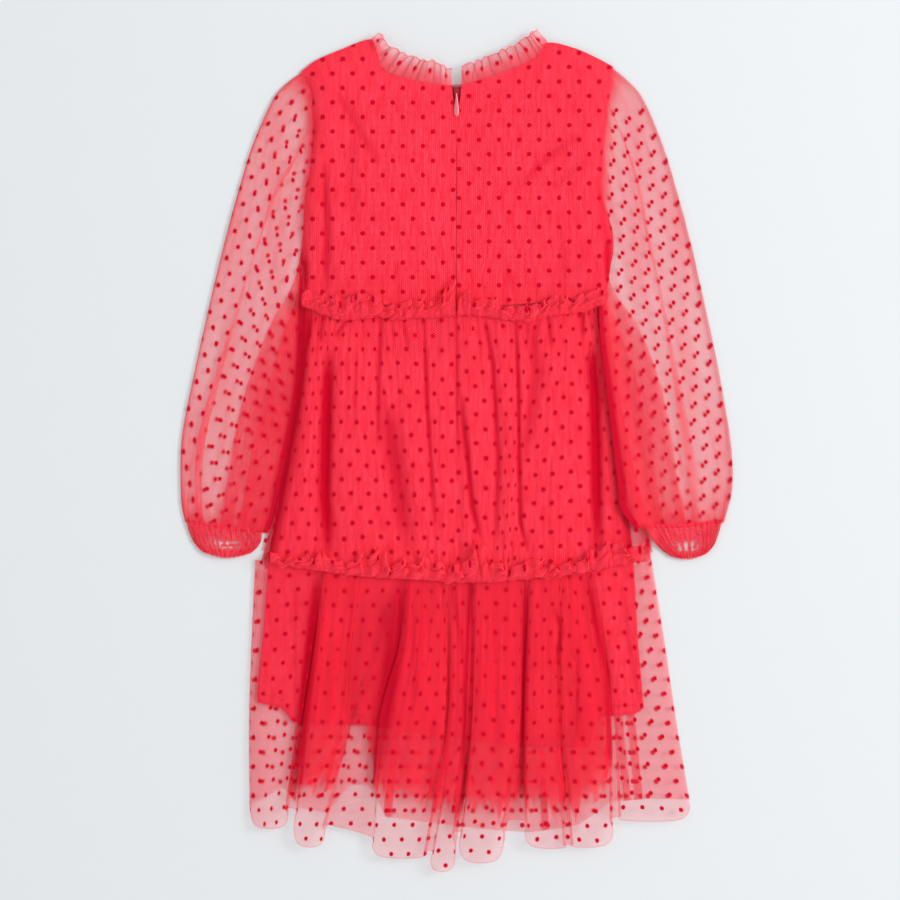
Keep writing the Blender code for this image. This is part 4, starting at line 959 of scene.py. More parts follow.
def bodice_folded(across, down, height, seed):
    """The height of the back bodice with its creases, and painted shade by depth in them."""
    depth = creases_at(across, down, BODICE_CREASES)
    depth = depth + gathers(1.3 * across, line(WAIST_SEAM, across) - down, seed) * 0.7
    height = height - 0.8 * depth + 0.35 * ripple(across, down, seed, 60.0)
    return height, np.clip(depth / BODICE_SHADE_DEPTH, 0, 1)


class DRESS_OT_bodice(bpy.types.Operator):
    """Make the dotted back bodice, its lining, the front and the front's lining"""
    bl_idname = "dress.bodice"
    bl_label = "Bodice"

    def execute(self, context):
        net, lining = net_finish(context), lining_finish(context)
        halves = (("left", BACK_TOP_LEFT, SIDE_LEFT, TOP_CLIMB_LEFT, (-43.9, 95.9), 3),
                  ("right", BACK_TOP_RIGHT, SIDE_RIGHT, TOP_CLIMB_LEFT[::-1], (51.2, 90.6), 4))
        for name, top, side, climb, start, seed in halves:
            across, down, height = bodice_half(top, side, climb)
            height, shade = bodice_folded(across, down, height, seed)
            back = patch(across, down, height, (across, down), 1.1, shade)
            under = patch(across, down, height - BODICE_LINING_UNDER, (across, down), 1.0, shade)
            tulle = cloth_object(f"bodice_back_{name}_tulle", [back], net,
                                 f"bodice_back_{name}")
            dots = dots_object(context, f"bodice_back_{name}_dots", [back], start)
            body = cloth_object(f"bodice_back_{name}_lining", [coarser(under, 2, 2)], lining,
                                f"bodice_back_lining_{name}")
        self.front(context, net, lining)
        return {"FINISHED"}

    def front(self, context, net, lining):
        """The front, which lies on the ground under its lining."""
        top = np.array(BACK_TOP_LEFT[:-1] + BACK_TOP_RIGHT[1:])
        left, right = np.array(SIDE_LEFT), np.array(SIDE_RIGHT)
        part = (top[:, 0] - top[0, 0]) / (top[-1, 0] - top[0, 0])
        across = between(left[:, :1], right[:, :1], part)
        neck = FRONT_NECK_DROP * (1 - np.clip(np.abs(top[:, 0]) / NECK_HALF_WIDTH, 0, 1)**2)
        foot = line(WAIST_SEAM, across[-1])
        share = np.clip((left[:, 1:] - left[0, 1]) / (foot[0] - left[0, 1]), 0, 1)
        down = between(top[:, 1] + neck, foot, share)
        plan = spline(np.stack([across, down], axis=-1), BODICE_FRONT_ROWS, 0)
        plan = spline(plan, BODICE_FRONT_COLUMNS, 1)
        across, down = plan[..., 0], plan[..., 1]
        inwards = np.minimum(across - across[:, :1], across[:, -1:] - across)
        outside = patch(across, down, FRONT_Z, (across, down), 1.1)
        level = np.minimum(FRONT_LINING_Z, FRONT_Z + 0.4 + 0.2 * inwards)
        shell = patch(across, down, level, (across, down))
        tulle = cloth_object("bodice_front_tulle", [outside], net, "bodice_front")
        dots = dots_object(context, "bodice_front_dots", [turned(outside)], (4.0, 90.0))
        body = cloth_object("bodice_front_inside", [coarser(shell, 2, 2)], lining,
                            "bodice_front_lining")


# Skirt

def first_tier_half(folds, side):
    """Across, down, height, shade and flat cloth of one half of the first tier's back.

    Each fold's line is a parabola through its top, middle and hem. The height is the slope at the
    side plus the folds' rise, which grows from the waist, less creases and gathers. The flat cloth
    is let out at each crease.
    """
    table = spline(np.array(folds), TIER1_COLUMNS)
    rise = spline(np.array(folds)[:, 3], TIER1_COLUMNS, through=False)
    share = np.linspace(0, 1, TIER1_ROWS)[:, None]
    across = (table[:, 0] * (1 - share) * (1 - 2 * share) + table[:, 1] * 4 * share * (1 - share)
              + table[:, 2] * share * (2 * share - 1))
    head, foot = line(WAIST_SEAM, across[0]), line(TIER_SEAM, across[-1])
    down = between(head, foot, share)
    edge = across[:, :1] if side < 0 else across[:, -1:]
    inwards = np.abs(across - edge)
    rows = np.interp(share, np.linspace(0, 1, len(TIER1_FOLD_ROWS)), TIER1_FOLD_ROWS)
    depth = creases_at(across, down, TIER1_CREASES)
    cloth = cloth_run(across, down, slope(SKIRT_SIDE_SLOPE, inwards)) + across[-1, 0]
    drawn_in = np.gradient(cloth, axis=1) * depth[TIER1_ROWS // 2] / 30.0
    cloth = cloth + 5.0 * np.cumsum(drawn_in, axis=1)
    small = gathers(cloth, down - head, 11) + 0.8 * gathers(cloth, foot - down, 12)
    small = small + 0.35 * np.clip(ripple(cloth, 0.05 * down, 13, 6.0), 0, 1)
    height = slope(SKIRT_SIDE_SLOPE, inwards) + np.maximum(rise, 0) * rows * 1.1
    near = np.clip(inwards / 6.0, 0, 1)
    height = height + 0.5 - near * (0.85 * depth + 0.9 * small)
    height = height + 0.3 * near * ripple(across, down, 5, 40.0)
    # Painted shade in the creases, the gathers and along the side edge, with a slight uneven tone
    # and a little more towards the hem
    shade = depth / 1.6 + small * (0.3 + 0.3 * np.exp(-(down - head) / 22.0))
    shade = shade + 0.9 * np.exp(-inwards / 6.0)
    shade = shade + 0.12 * ripple(cloth, 0.15 * down, 15, 24.0) + 0.05 + 0.1 * share
    drift = down + 2.5 * ripple(cloth, 0.3 * down, 14, 50.0)
    return across, down, height, np.clip(shade, 0, 1), (cloth, drift)


def tier_height(halves, across, down):
    """The height of the first tier's back at any place, from the grids of its halves."""
    made = np.zeros(across.shape)
    for side, half in zip((-1, 1), halves):
        plan = np.stack([half[0], half[1]], axis=-1)
        wanted = np.stack([across, down], axis=-1)
        here = (side * across >= 0)
        row, column, _ = locate(plan, wanted[here])
        made[here] = sample(half[2][..., None], row, column)[..., 0]
    return made


def flat_panel(left, right, head, foot, rows, columns):
    """Across and down of a flat panel between two side lines and just inside two seams."""
    part = np.linspace(0, 1, columns)
    across = between(spline(left, rows)[:, None], spline(right, rows)[:, None], part)
    share = np.linspace(0, 1, rows)[:, None]
    start, end = line(head, across[0]) + FRONT_OVER_SEAM, line(foot, across[-1]) - FRONT_OVER_SEAM
    return across, between(start, end, share)


class DRESS_OT_first_tier(bpy.types.Operator):
    """Make the first tier of the skirt, gathered between the waist and the second tier"""
    bl_idname = "dress.first_tier"
    bl_label = "First tier"

    def execute(self, context):
        net = net_finish(context)
        for name, folds, side, start in (("left", TIER1_LEFT_FOLDS, -1, (-43.9, 250.0)),
                                         ("right", TIER1_RIGHT_FOLDS, 1, (51.2, 244.0))):
            # depth here is the painted shade that first_tier_half returns
            across, down, height, depth, cloth = first_tier_half(folds, side)
            edge = across[:, :1] if side < 0 else across[:, -1:]
            density = 1.0 + 0.5 * np.exp(-np.abs(down - down[0]) / 30.0)
            density = density + 2.5 * np.exp(-np.abs(across - edge) / 6.0)
            back = patch(across, down, height, cloth, density, depth)
            tulle = cloth_object(f"tier1_back_{name}_tulle", [back], net,
                                 f"tier1_back_{name}")
            dots = dots_object(context, f"tier1_back_{name}_dots", [back], start)
        left, right = TIER1_LEFT_FOLDS[0], TIER1_RIGHT_FOLDS[-1]
        across, down = flat_panel(left[:3], right[:3], WAIST_SEAM, TIER_SEAM,
                                  TIER1_FRONT_ROWS, TIER1_FRONT_COLUMNS)
        front = patch(across, down, FRONT_Z, (across * 1.1, down), 1.1)
        tulle = cloth_object("tier1_front_tulle", [front], net, "tier1_front")
        dots = dots_object(context, "tier1_front_dots", [turned(front)], (0.0, 240.0))
        return {"FINISHED"}


def flute_controls(flutes, first, last):
    """Across, rise and hem of the control points of a run of flutes, tucked under each other."""
    rows = np.linspace(0, 1, TIER2_ROWS)
    across, rise, hem = [], [], []
    for number, flute in enumerate(flutes):
        left = spline(flute.left, TIER2_ROWS)
        right = spline(flute.right, TIER2_ROWS)
        tuck = TIER2_TUCK * np.interp(rows, [0.0, 0.15, 0.5, 1.0], [0.15, 0.5, 0.9, 1.0])
        left_tuck = 0.0 if first and number == 0 else tuck
        right_tuck = 0.0 if last and number == len(flutes) - 1 else tuck
        for (place, up), low in zip(FLUTE_PROFILE, FLUTE_HEM):
            inner = left_tuck if place == 0.0 and up == 0.0 else 0.0
            inner = inner - (right_tuck if place == 1.0 and up == 0.0 else 0.0)
            across.append(between(left, right, place) + inner)
            rise.append(up * flute.rise)
            start, crest, end = flute.hems
            hem.append(between(start if place < 0.5 else end, crest, low))
    return np.array(across).T, np.array(rise), np.array(hem)


def second_tier_grid(flutes, first, last, lower, hem_line=None):
    """Fluted cloth: B-splines across the flutes' control points at each row.

    The rise grows towards the hem. Gathers at the seam and creases between the flutes take some
    height away, and valleys, gathers and creases get painted shade.
    """
    across, rise, hem = flute_controls(flutes, first, last)
    count = FLUTE_COLUMNS * len(flutes)
    across = spline(across, count, 1, through=False)
    rise = spline(rise, count, through=False)
    hem = spline(hem, count, through=False)
    if hem_line is not None:
        hem = np.minimum(hem - 8.0, line(hem_line, across[-1]))
    share = np.linspace(0, 1, TIER2_ROWS)[:, None]
    grown = np.interp(share, np.linspace(0, 1, len(TIER2_RISE_ROWS)), TIER2_RISE_ROWS)
    head = line(TIER_SEAM, across[0])
    down = between(head, hem, share)
    side = np.full(across.shape, np.inf)
    if first:
        side = across - across.min(axis=1, keepdims=True)
    if last:
        side = np.minimum(side, across.max(axis=1, keepdims=True) - across)
    height = slope(SKIRT_SIDE_SLOPE, side) - 0.4 + 0.6 * grown * rise
    cloth = cloth_run(across, down, height) + across[-1, 0]
    small = gathers(cloth, down - head, 21) * np.clip(side / 6.0, 0, 1)
    deep = creases_at(across, down, TIER2_CREASES) * np.clip(side / 6.0, 0, 1)
    height = height - 0.7 * small - 0.25 * deep - lower + 0.25 * ripple(across, down, 8, 35.0)
    height = np.maximum(height, BACK_LINING_Z - 1.0)
    valley = 1 - np.clip(rise / 3.0, 0, 1)
    shade = np.clip(small / 4.0 + 0.25 * valley * ease((share - 0.02) * 6) + deep / 2.4, 0, 1)
    density = 0.85 + 0.7 * np.exp(-(down - head) / 40.0) + 0.4 * valley
    density = density + 0.7 * np.exp(-(across - across[:, :1]) / 14.0)
    drift = down + 3.0 * ripple(cloth, 0 * down, 2, 60.0)
    return patch(across, down, height, (cloth, drift), density, shade)


def petticoat_grid(lower, seed):
    """One layer of the petticoat's net: the second tier's flutes with a shorter, ragged hem.

    Sine waves along the cloth make it streaky. It fades to nothing at an uneven share of its
    length, and is thin in its window.
    """
    grid = second_tier_grid(TIER2_FLUTES[1:7], False, False, lower, NET_HEM)
    cloth = grid.cloth[..., 0]
    across, down = grid.points[..., 0], LENGTH / 2 - grid.points[..., 1]
    streak = ripple(cloth, 0.03 * down, seed, 7.0) + ripple(cloth, 0.02 * down, seed + 1, 2.6)
    share = np.linspace(0, 1, TIER2_ROWS)[:, None]
    ragged = 0.9 - 0.1 * ripple(cloth[:1], 0 * cloth[:1], seed + 2, 4.0, 9)
    ragged = ragged - 0.05 * ripple(cloth[:1], 0, seed + 3, 30.0)
    fade = 1 - 0.96 * ease((share - ragged) / 0.06)
    (left, right), (head, foot) = NET_WINDOW_ACROSS, NET_WINDOW_DOWN
    window = ease((across - left) / 6.0) * ease((right - across) / 1.5)
    window = window * ease((down - head) / 40.0) * ease((foot - down) / 5.0)
    density = (1.1 + 0.4 * streak) * fade * (1 - 0.75 * window)
    points = grid.points + np.stack([0 * streak, 0 * streak, 0.45 * streak], axis=-1)
    # The flutes' painted shade, made uneven by the streaks
    shade = np.clip(grid.shade - 0.3 * streak, 0, 1)
    return grid._replace(points=points, density=density, shade=shade)


class DRESS_OT_second_tier(bpy.types.Operator):
    """Make the fluted second tier, front and back, and the petticoat net inside it"""
    bl_idname = "dress.second_tier"
    bl_label = "Second tier"

    def execute(self, context):
        sizes = context.scene.dress_cloth
        net = net_finish(context)
        back = second_tier_grid(TIER2_FLUTES, True, True, 0.0)
        tulle = cloth_object("tier2_back_tulle", [back], net, "tier2_back")
        dots = dots_object(context, "tier2_back_dots", [back], (-150.0, 650.0))
        edge_thread = thread_finish("cut_edge", sizes.edge_colour)
        hem = cords_object("tier2_back_hem", [back.points[-1]], HEM_CORD, edge_thread)
        petticoat = net_finish(context, "petticoat", sizes.petticoat_share, 0.8,
                               sizes.petticoat_colour)
        grids = [petticoat_grid(NET_UNDER + NET_LAYER_GAP * layer, seed)
                 for layer, seed in enumerate((61, 62))]
        piece = cloth_object("petticoat_net", grids, petticoat, "under_net")
        self.front(context, net)
        return {"FINISHED"}

    def front(self, context, net):
        """The front of the tier, flat on the ground, with a few tucks."""
        hem = np.array(TIER2_FRONT_HEM)
        left, right = TIER2_FLUTES[0].left, TIER2_FLUTES[-1].right
        share = np.linspace(0, 1, TIER2_FRONT_ROWS)[:, None]
        lines, lift = [spline(left, TIER2_FRONT_ROWS)], [0.0]
        for tuck in TIER2_FRONT_TUCKS:
            place = between(tuck.top, tuck.hem, share[:, 0])
            wide = tuck.width * ease(2 * share[:, 0])
            lines += [place - 6, place + wide, place + wide + 0.4, place - 0.4, place, place + 8]
            lift += [0.0, 0.0, 0.3, 0.6, 0.9, 0.9]
        lines.append(spline(right, TIER2_FRONT_ROWS))
        lift.append(0.0)
        across = spline(np.array(lines).T, TIER2_FRONT_COLUMNS, 1, through=False)
        height = FRONT_Z + spline(lift, TIER2_FRONT_COLUMNS, through=False)
        foot = np.interp(across[-1], hem[:, 0], spline(hem[:, 1], len(hem)))
        down = between(line(TIER_SEAM, across[0]) + FRONT_OVER_SEAM, foot, share)
        arcs = arc(np.stack([across, down, height + 0 * across], axis=-1))
        grid = patch(across, down, height, (arcs[-1:] - 169.0, down), 0.95)
        tulle = cloth_object("tier2_front_tulle", [coarser(grid, 2, 1)], net,
                             "tier2_front")
        dots = dots_object(context, "tier2_front_dots", [turned(grid)], (6.0, 640.0))


class DRESS_OT_lining(bpy.types.Operator):
    """Make the lining of the skirt, front and back, with its own hem"""
    bl_idname = "dress.lining"
    bl_label = "Skirt lining"

    def execute(self, context):
        finish = lining_finish(context)
        halves = [first_tier_half(TIER1_LEFT_FOLDS, -1), first_tier_half(TIER1_RIGHT_FOLDS, 1)]
        share = np.linspace(0, 1, LINING_ROWS)
        left, right, hem = np.array(LINING_LEFT), np.array(LINING_RIGHT), np.array(LINING_HEM)
        places = np.linspace(*LINING_SIDE_ROWS, LINING_ROWS)
        left_line = np.interp(places, left[:, 1], left[:, 0])
        right_line = np.interp(places, right[:, 1], right[:, 0])
        part = np.linspace(0, 1, LINING_COLUMNS)
        across = between(left_line[:, None], right_line[:, None], part)
        foot = line(hem, across[-1])
        down = between(line(WAIST_SEAM, across[0]) + 1.0, foot, share[:, None])
        seam = line(TIER_SEAM, across)
        upper = tier_height(halves, across, np.minimum(down, seam - 1.0)) - LINING_UNDER
        below = BACK_LINING_Z + 0.6 * ripple(across, down, 9, 45.0)
        below = below - creases_at(across, down, LINING_CREASES)
        height = between(upper, below, ease((down - seam + 12.0) / 30.0))
        inwards = np.minimum(across - across[:, :1], across[:, -1:] - across)
        height = np.minimum(height, FRONT_LINING_Z + 0.8 + inwards * 0.8)
        # Painted shade on the lining, carried in depth: darker in both tiers' creases, in the
        # gathers below the waist and along its sides above the tier seam, a little towards the hem,
        # and on its far left below the seam
        depth = creases_at(across, down, TIER1_CREASES) / LINING_SHADE_DEPTH
        depth = depth + creases_at(across, down, TIER2_CREASES) / LINING_SHADE_DEPTH
        depth = depth + gathers(across * 1.2, down - line(WAIST_SEAM, across), 11) / 5.0
        depth = depth + np.exp(-(inwards / 7.0)**2) * (down < seam)
        depth = depth + 0.08 * np.clip((down - 230.0) / 210.0, 0, 1)
        depth = depth + 0.16 * ease((-112.0 - across) / 8.0) * (down > seam)
        grid = patch(across, down, height, (across, down), 1.0, np.clip(depth, 0, 1))
        back = cloth_object("skirt_lining_back_cloth", [grid], finish,
                            "skirt_lining_back")
        level = np.minimum(FRONT_LINING_Z, FRONT_Z + 0.7 + inwards * 0.4)
        flat = patch(across, down, level, (across, down))
        front = cloth_object("skirt_lining_front_cloth", [coarser(flat, 4, 4)], finish,
                             "skirt_lining_front")
        thread = thread_finish("seam_thread", context.scene.dress_cloth.thread_colour)
        paths = []
        for rise in LINING_STITCH_ROWS:
            row = -1 - int(rise * LINING_ROWS / (LINING_SIDE_ROWS[1] - LINING_SIDE_ROWS[0]))
            paths += stitches(grid.points[row] + (0.0, 0.0, 0.15))
        seams = cords_object("lining_hem_stitches", paths, STITCH_CORD, thread)
        return {"FINISHED"}


# Sleeves

def skirt_cover(across, down):
    """Height that a sleeve needs to pass over the right side of the first tier."""
    edge = TIER1_RIGHT_FOLDS[-1]
    head, foot = WAIST_SEAM[-1][1], TIER_SEAM[-1][1]
    share = np.clip((down - head) / (foot - head), 0, 1)
    side = (edge.top * (1 - share) * (1 - 2 * share) + edge.middle * 4 * share * (1 - share)
            + edge.hem * share * (2 * share - 1))
    over = slope(SKIRT_COVER, side - across + SKIRT_COVER_LEAD)
    return np.where((down > head - 6) & (across > 0), over * ease((down - head + 6) / 8.0), 0.0)


def ring_plan(table, part):
    """Across and down at shares from the outer (0) to the inner edge (1) of each section."""
    across = between(table[:, 0:1], table[:, 2:3], part)
    down = between(table[:, 1:2], table[:, 3:4], part)
    run = np.hypot(table[:, 2] - table[:, 0], table[:, 3] - table[:, 1])[:, None]
    bow = table[:, 4:5] * np.sin(np.pi * np.clip(part, 0, 1))
    across = across - np.sign(table[0, 0]) * bow * np.abs(table[:, 3:4] - table[:, 1:2]) / run
    return across, down - bow * np.abs(table[:, 2:3] - table[:, 0:1]) / run


def sleeve_loop(tucks):
    """Share across and height of the control points round a sleeve, a pair for each turn.

    The loop runs along the lower wall to the inner edge, twice out and back for the folds of the
    upper wall's extra cloth, then back over the top with its narrow tuck.
    """
    first, second = np.array(SLEEVE_FOLD_ROWS), np.array(SLEEVE_SECOND_ROWS)
    tuck, wide = np.array(tucks), np.array(SLEEVE_TUCK_WIDTHS)
    one = np.linspace(1.05, 1.08, len(first))
    outer = np.full(len(first), -0.01)
    loop = [
        (outer, 0.35), (0.06 + 0 * one, 0.02), (0.2 + 0 * one, 0.0), (0.45 + 0 * one, 0.0),
        (0.7 + 0 * one, 0.0), (0.9 + 0 * one, 0.02), (one, 0.04), (one, 0.1), (one, 0.18),
        (between(first, one, 0.7), 0.24), (between(first, one, 0.3), 0.27), (first, 0.3),
        (first, 0.33), (first, 0.36), (between(first, one, 0.3), 0.4),
        (between(first, one, 0.7), 0.43), (one, 0.46), (one, 0.5), (one, 0.54),
        (between(second, one, 0.5), 0.57), (second, 0.6), (second, 0.63), (second, 0.66),
        (between(second, one, 0.5), 0.69), (one, 0.72), (one, 0.76), (one, 0.8),
        (0.96 + 0 * one, 0.86), (0.85 + 0 * one, 0.94), (0.7 + 0 * one, 1.0),
        (between(tuck, one, 0.5), 1.0), (tuck + wide, 1.0), (tuck - wide, 0.98),
        (tuck - wide, 0.94), (tuck + wide, 0.9), (tuck + wide, 0.87), (tuck - wide, 0.95),
        (tuck * 0.6, 1.0), (tuck * 0.3, 0.95), (0.05 + 0 * one, 0.85), (outer, 0.7),
    ]
    shares, heights = zip(*loop)
    return np.array(shares).T, np.array(heights)


def armhole_ring(side, part):
    """Across and down of the armhole at shares from the shoulder (0) to the underarm (1)."""
    table = np.array(side[:UNDERARM_ROW + 1])
    places = np.clip(part, 0, 1) * UNDERARM_ROW
    rows = np.arange(UNDERARM_ROW + 1)
    across = np.interp(places, rows, table[:, 0]) - np.sign(table[0, 0]) * SLEEVE_INSIDE
    return across, np.interp(places, rows, table[:, 1])


def sleeve_grid(sections, side, tucks, fullness):
    """A sleeve laid flat: closed rings along it, whose upper wall folds under itself inwards.

    Each ring is a B-spline through the loop, laid between the section's outer and inner edge, and
    the first rings are blended into the armhole. The height is the loop's level times the
    sleeve's thickness, on the floor or on the skirt below it, less gathers at both ends.
    """
    table = spline(np.array(sections), SLEEVE_RINGS)
    part, level = sleeve_loop(tucks)
    part = spline(spline(part, SLEEVE_RINGS), SLEEVE_AROUND, 1, through=False)
    level = spline(level, SLEEVE_AROUND, through=False)
    across, down = ring_plan(table, part)
    start = 1 - ease(np.linspace(0, 1, SLEEVE_RINGS) / 0.11)[:, None]
    arm_across, arm_down = armhole_ring(side, part)
    across, down = between(across, arm_across, start), between(down, arm_down, start)
    inwards = -np.sign(table[0, 0])
    ahead = np.array([-inwards * SLEEVE_TURN[0], SLEEVE_TURN[1]])
    sideways = inwards * (across * ahead[1] - down * ahead[0])
    length = across * ahead[0] + down * ahead[1]
    wrist = length[-1:].mean() - length
    low = skirt_cover(across, down) + 0.4
    thick = SLEEVE_HOLLOW + table[:, 5:6] * np.sin(np.pi * np.clip(part, 0.08, 1))
    height = low + level * thick
    top = np.clip(level * 2 - 1, 0, 1)
    place = sideways + 40.0 * level
    small = gathers(place, wrist, 31)
    small = small + gathers(place, 0.8 * (down - arm_down) + 60 * (1 - start), 32) * 0.3
    height = height - top * small * np.clip(thick / 3, 0.2, 1)
    height = height + top * 0.6 * ripple(sideways, length * 0.35, 6, 30.0)
    edge = np.exp(-np.minimum(part, 1 - part) / 0.012)
    hidden = (level > 0.22) & (level < 0.74)
    head = np.exp(-np.hypot(across - arm_across, down - arm_down) / 7.0)
    streak = ripple(place, length * 0.05, 3, 9.0) + 0.6 * ripple(place, length * 0.03, 4, 3.2)
    density = 1.0 + 0.7 * edge + 1.0 * np.exp(-wrist / 14.0) + 0.2 * hidden + 3.2 * head
    density = density * (1 + 0.4 * streak) * fullness
    # Painted shade along the sleeve's folded edges and in its gathers
    shade = np.clip(0.5 * edge + small / 5.0, 0, 1)
    grid = patch(across, down, np.maximum(height, 0.2), (across, down), density, shade)
    flat = np.stack([SLEEVE_LET_OUT[0] * sideways + LAYER_SHIFT[0] * level,
                     SLEEVE_LET_OUT[1] * length + LAYER_SHIFT[1] * level], axis=-1)
    grid = grid._replace(cloth=np.concatenate([flat, flat[:, :1]], axis=1))
    return grid if table[0, 0] > 0 else turned(grid)


def sleeve_layers(grid):
    """The sleeve's grid cut at its folds into open grids, one for each layer of its cloth."""
    turns = [round(turn / SLEEVE_LOOP * (SLEEVE_AROUND - 1)) for turn in SLEEVE_PARTS]
    if grid.points[0, 0, 0] < 0:
        turns = [SLEEVE_AROUND - 1 - turn for turn in turns[::-1]]
    return [Patch(*[values[:, first:last + 1] for values in grid])
            for first, last in zip(turns, turns[1:])]


def cuff_grid(sections, seed):
    """An elastic wrist: closed rings with close uneven gathers, drawn in by rows of elastic.

    The rings are flattened circles. Sine waves round them, bent by slower ones, make the gathers,
    a squared cosine along them the rows of elastic, and noise in the middle opens small slits.
    """
    table = spline(np.array(sections), CUFF_RINGS)
    turn = np.linspace(0, 2 * np.pi, CUFF_AROUND, endpoint=False)
    part = (1 - np.cos(turn)) / 2
    level = 0.5 - np.sign(np.sin(turn)) * np.abs(np.sin(turn))**0.6 / 2
    across, down = ring_plan(table, part[None] * np.ones((CUFF_RINGS, 1)))
    share = np.linspace(0, 1, CUFF_RINGS)[:, None]
    down = down - 4.0 * (1 - share)**2
    draw = np.random.default_rng(seed)
    shift = draw.uniform(0, 6, 6)
    warp = 1.5 * np.sin(3 * turn + shift[0]) + 0.8 * np.sin(7 * turn + shift[1])
    wave = np.sin(CUFF_GATHERS * 2 * turn + warp + 1.2 * np.sin(5 * share + shift[2]))
    fine = np.sin(CUFF_GATHERS * 5 * turn + 2 * warp + 9 * share + shift[3])
    elastic = np.cos(share * 2 * np.pi * 3.2)**2
    grow = 0.45 + 0.6 * share**2 - 0.3 * elastic
    round_it, along_it = CUFF_RADIUS * turn, CUFF_LENGTH * share
    crumple = 1.6 * ripple(round_it, along_it, seed, 5.0)
    crumple = crumple + 0.9 * ripple(round_it, along_it, seed + 1, 2.4)
    low = skirt_cover(across, down) + 0.5
    folds = grow * wave + 0.3 * fine + 0.5 * crumple
    height = low + level * (2.2 + table[:, 5:6]) + (level > 0.5) * folds * 0.9
    down = down + share**3 * (0.8 * np.sin(CUFF_GATHERS * turn * 3.5 + warp) + 0.4 * fine)
    across = across + 0.5 * share * wave * np.cos(turn)
    spots = ripple(55.0 * part + 0 * share, along_it, seed + 2, 4.5, 7)
    middle = np.exp(-((share - 0.5) / 0.17)**4) * np.exp(-((part - 0.5) / 0.28)**4)
    open_net = np.clip(9.0 * spots + 0.9, 0, 1) * middle
    density = (1.1 - 0.2 * wave - 0.2 * fine - 0.4 * crumple) * (1 - 0.97 * open_net)
    # Painted shade in the low places of the gathers and crumples, and along the rows of elastic
    shade = np.clip(0.1 * elastic - 0.25 * wave - 0.2 * fine - 0.5 * crumple, 0, 1)
    grid = patch(across, down, np.maximum(height, 0.25), (across, down), density, shade)
    flat = np.broadcast_arrays(np.append(turn, 2 * np.pi) * CUFF_RADIUS, along_it)
    grid = grid._replace(cloth=np.stack(flat, axis=-1))
    return grid if table[0, 0] < 0 else turned(grid)


class DRESS_OT_sleeves(bpy.types.Operator):
    """Make the sheer sleeves, with the folds of their extra cloth, and the elastic cuffs"""
    bl_idname = "dress.sleeves"
    bl_label = "Sleeves"

    def execute(self, context):
        sizes = context.scene.dress_cloth
        net = net_finish(context)
        dense = net_finish(context, "cuff_tulle", sizes.petticoat_share, deep=0.7)
        sides = (("left", SLEEVE_LEFT, SIDE_LEFT, SLEEVE_TUCK_LEFT, 0.97, (40.0, 100.0), 0.12),
                 ("right", SLEEVE_RIGHT, SIDE_RIGHT, SLEEVE_TUCK_RIGHT, 0.87, (46.0, 104.0), 0.3))
        for name, sections, side, tucks, fullness, start, turn in sides:
            grid = sleeve_grid(sections, side, tucks, fullness)
            sleeve = cloth_object(f"sleeve_{name}_tulle", [grid], net,
                                  f"sleeve_{name}")
            dots = dots_object(context, f"sleeve_{name}_dots", sleeve_layers(grid), start,
                               turn)
        for name, sections, seed in (("left", CUFF_LEFT, 71), ("right", CUFF_RIGHT, 72)):
            grid = cuff_grid(sections, seed)
            cuff = cloth_object(f"cuff_{name}_tulle", [grid], dense, f"cuff_{name}")
        return {"FINISHED"}


# Frills

def frill_grid(upper, foot, seed, size=1.0):
    """A frill that stands on a seam: its free edge meanders in curls and flops over in places.

    Across, down and height each swing as sines of one phase, whose pitch wanders, and more so
    towards the free edge. The last rows turn back by a share that changes along the frill.
    """
    table = np.array(upper)
    count = int((table[-1, 0] - table[0, 0]) * FRILL_COLUMNS_IN_MM)
    across = np.linspace(table[0, 0], table[-1, 0], count)
    high, low = line(upper, across), line(foot, across)
    draw = np.random.default_rng(seed)
    shift = draw.uniform(0, 6, 5)
    uneven = 2.4 * np.sin(across / 11.0 + shift[0]) + 1.6 * np.sin(across / 4.3 + shift[1])
    pitch = size * (9.5 + uneven)
    phase = np.cumsum(np.gradient(across) * 2 * np.pi / pitch)
    curl = 2.5 * size + 1.3 * np.sin(across / 7.0 + shift[2])
    curl = curl + 0.5 * np.sin(across / 17.0 + shift[3])
    flop = ease(0.5 + 1.1 * ripple(across, 0 * across, seed, 34.0))
    share = np.linspace(0, 1, FRILL_ROWS)[:, None]
    grow = share**1.3
    folded = ease((share - 0.6) / 0.4)
    reach = np.minimum(share / 0.72, 1.0) - (0.15 + 0.5 * flop) * folded
    sway = 2.2 * np.cos(phase + 0.7) + 0.8 * np.cos(2.3 * phase)
    down = between(low, high, reach) + grow * size * sway
    down = down + (1 - share)**2 * 1.3 * ripple(across, 0 * across, seed + 2, 9.0)
    crest = FRILL_RISE * np.clip((low - high) / 16.0, 0.5, 1.4)
    height = FRILL_SEAM_Z + crest * np.sin(np.pi * share * 0.8) * 0.8 + folded * (0.8 + flop)
    height = height + grow * size * (2.2 * np.sin(phase + 0.4) + 0.6 * np.sin(2.7 * phase))
    height = height - 0.8 * gathers(across, 10.0 * share, seed + 1)
    wide = across + grow * curl * np.sin(phase)
    points = np.stack(np.broadcast_arrays(wide, down, height), axis=-1)
    cloth = arc(points).max(axis=0)[None] + 0 * share
    small = gathers(cloth, 14.0 * share, seed)
    density = 1.5 - 0.4 * share + 0.6 * np.clip(small, 0, 1)
    # Painted shade in the gathers and at the foot by the seam, and painted light where the curls
    # swing up, which lowers the shade
    shade = 0.4 * small + 0.5 * np.exp(-share / 0.06) - 0.3 * np.sin(phase + 0.4) * grow - 0.2
    flat = (cloth, 22.0 * share + 0 * cloth)
    return patch(wide, down, height, flat, density, np.clip(shade, 0, 1))


def cut_of(grid):
    """Width and length in metres of the flat cut of a grid: the means of its rows and columns."""
    points = wrapped(grid.points, grid)
    return float(arc(points)[:, -1].mean()) * MM, float(arc(points, 0)[-1].mean()) * MM


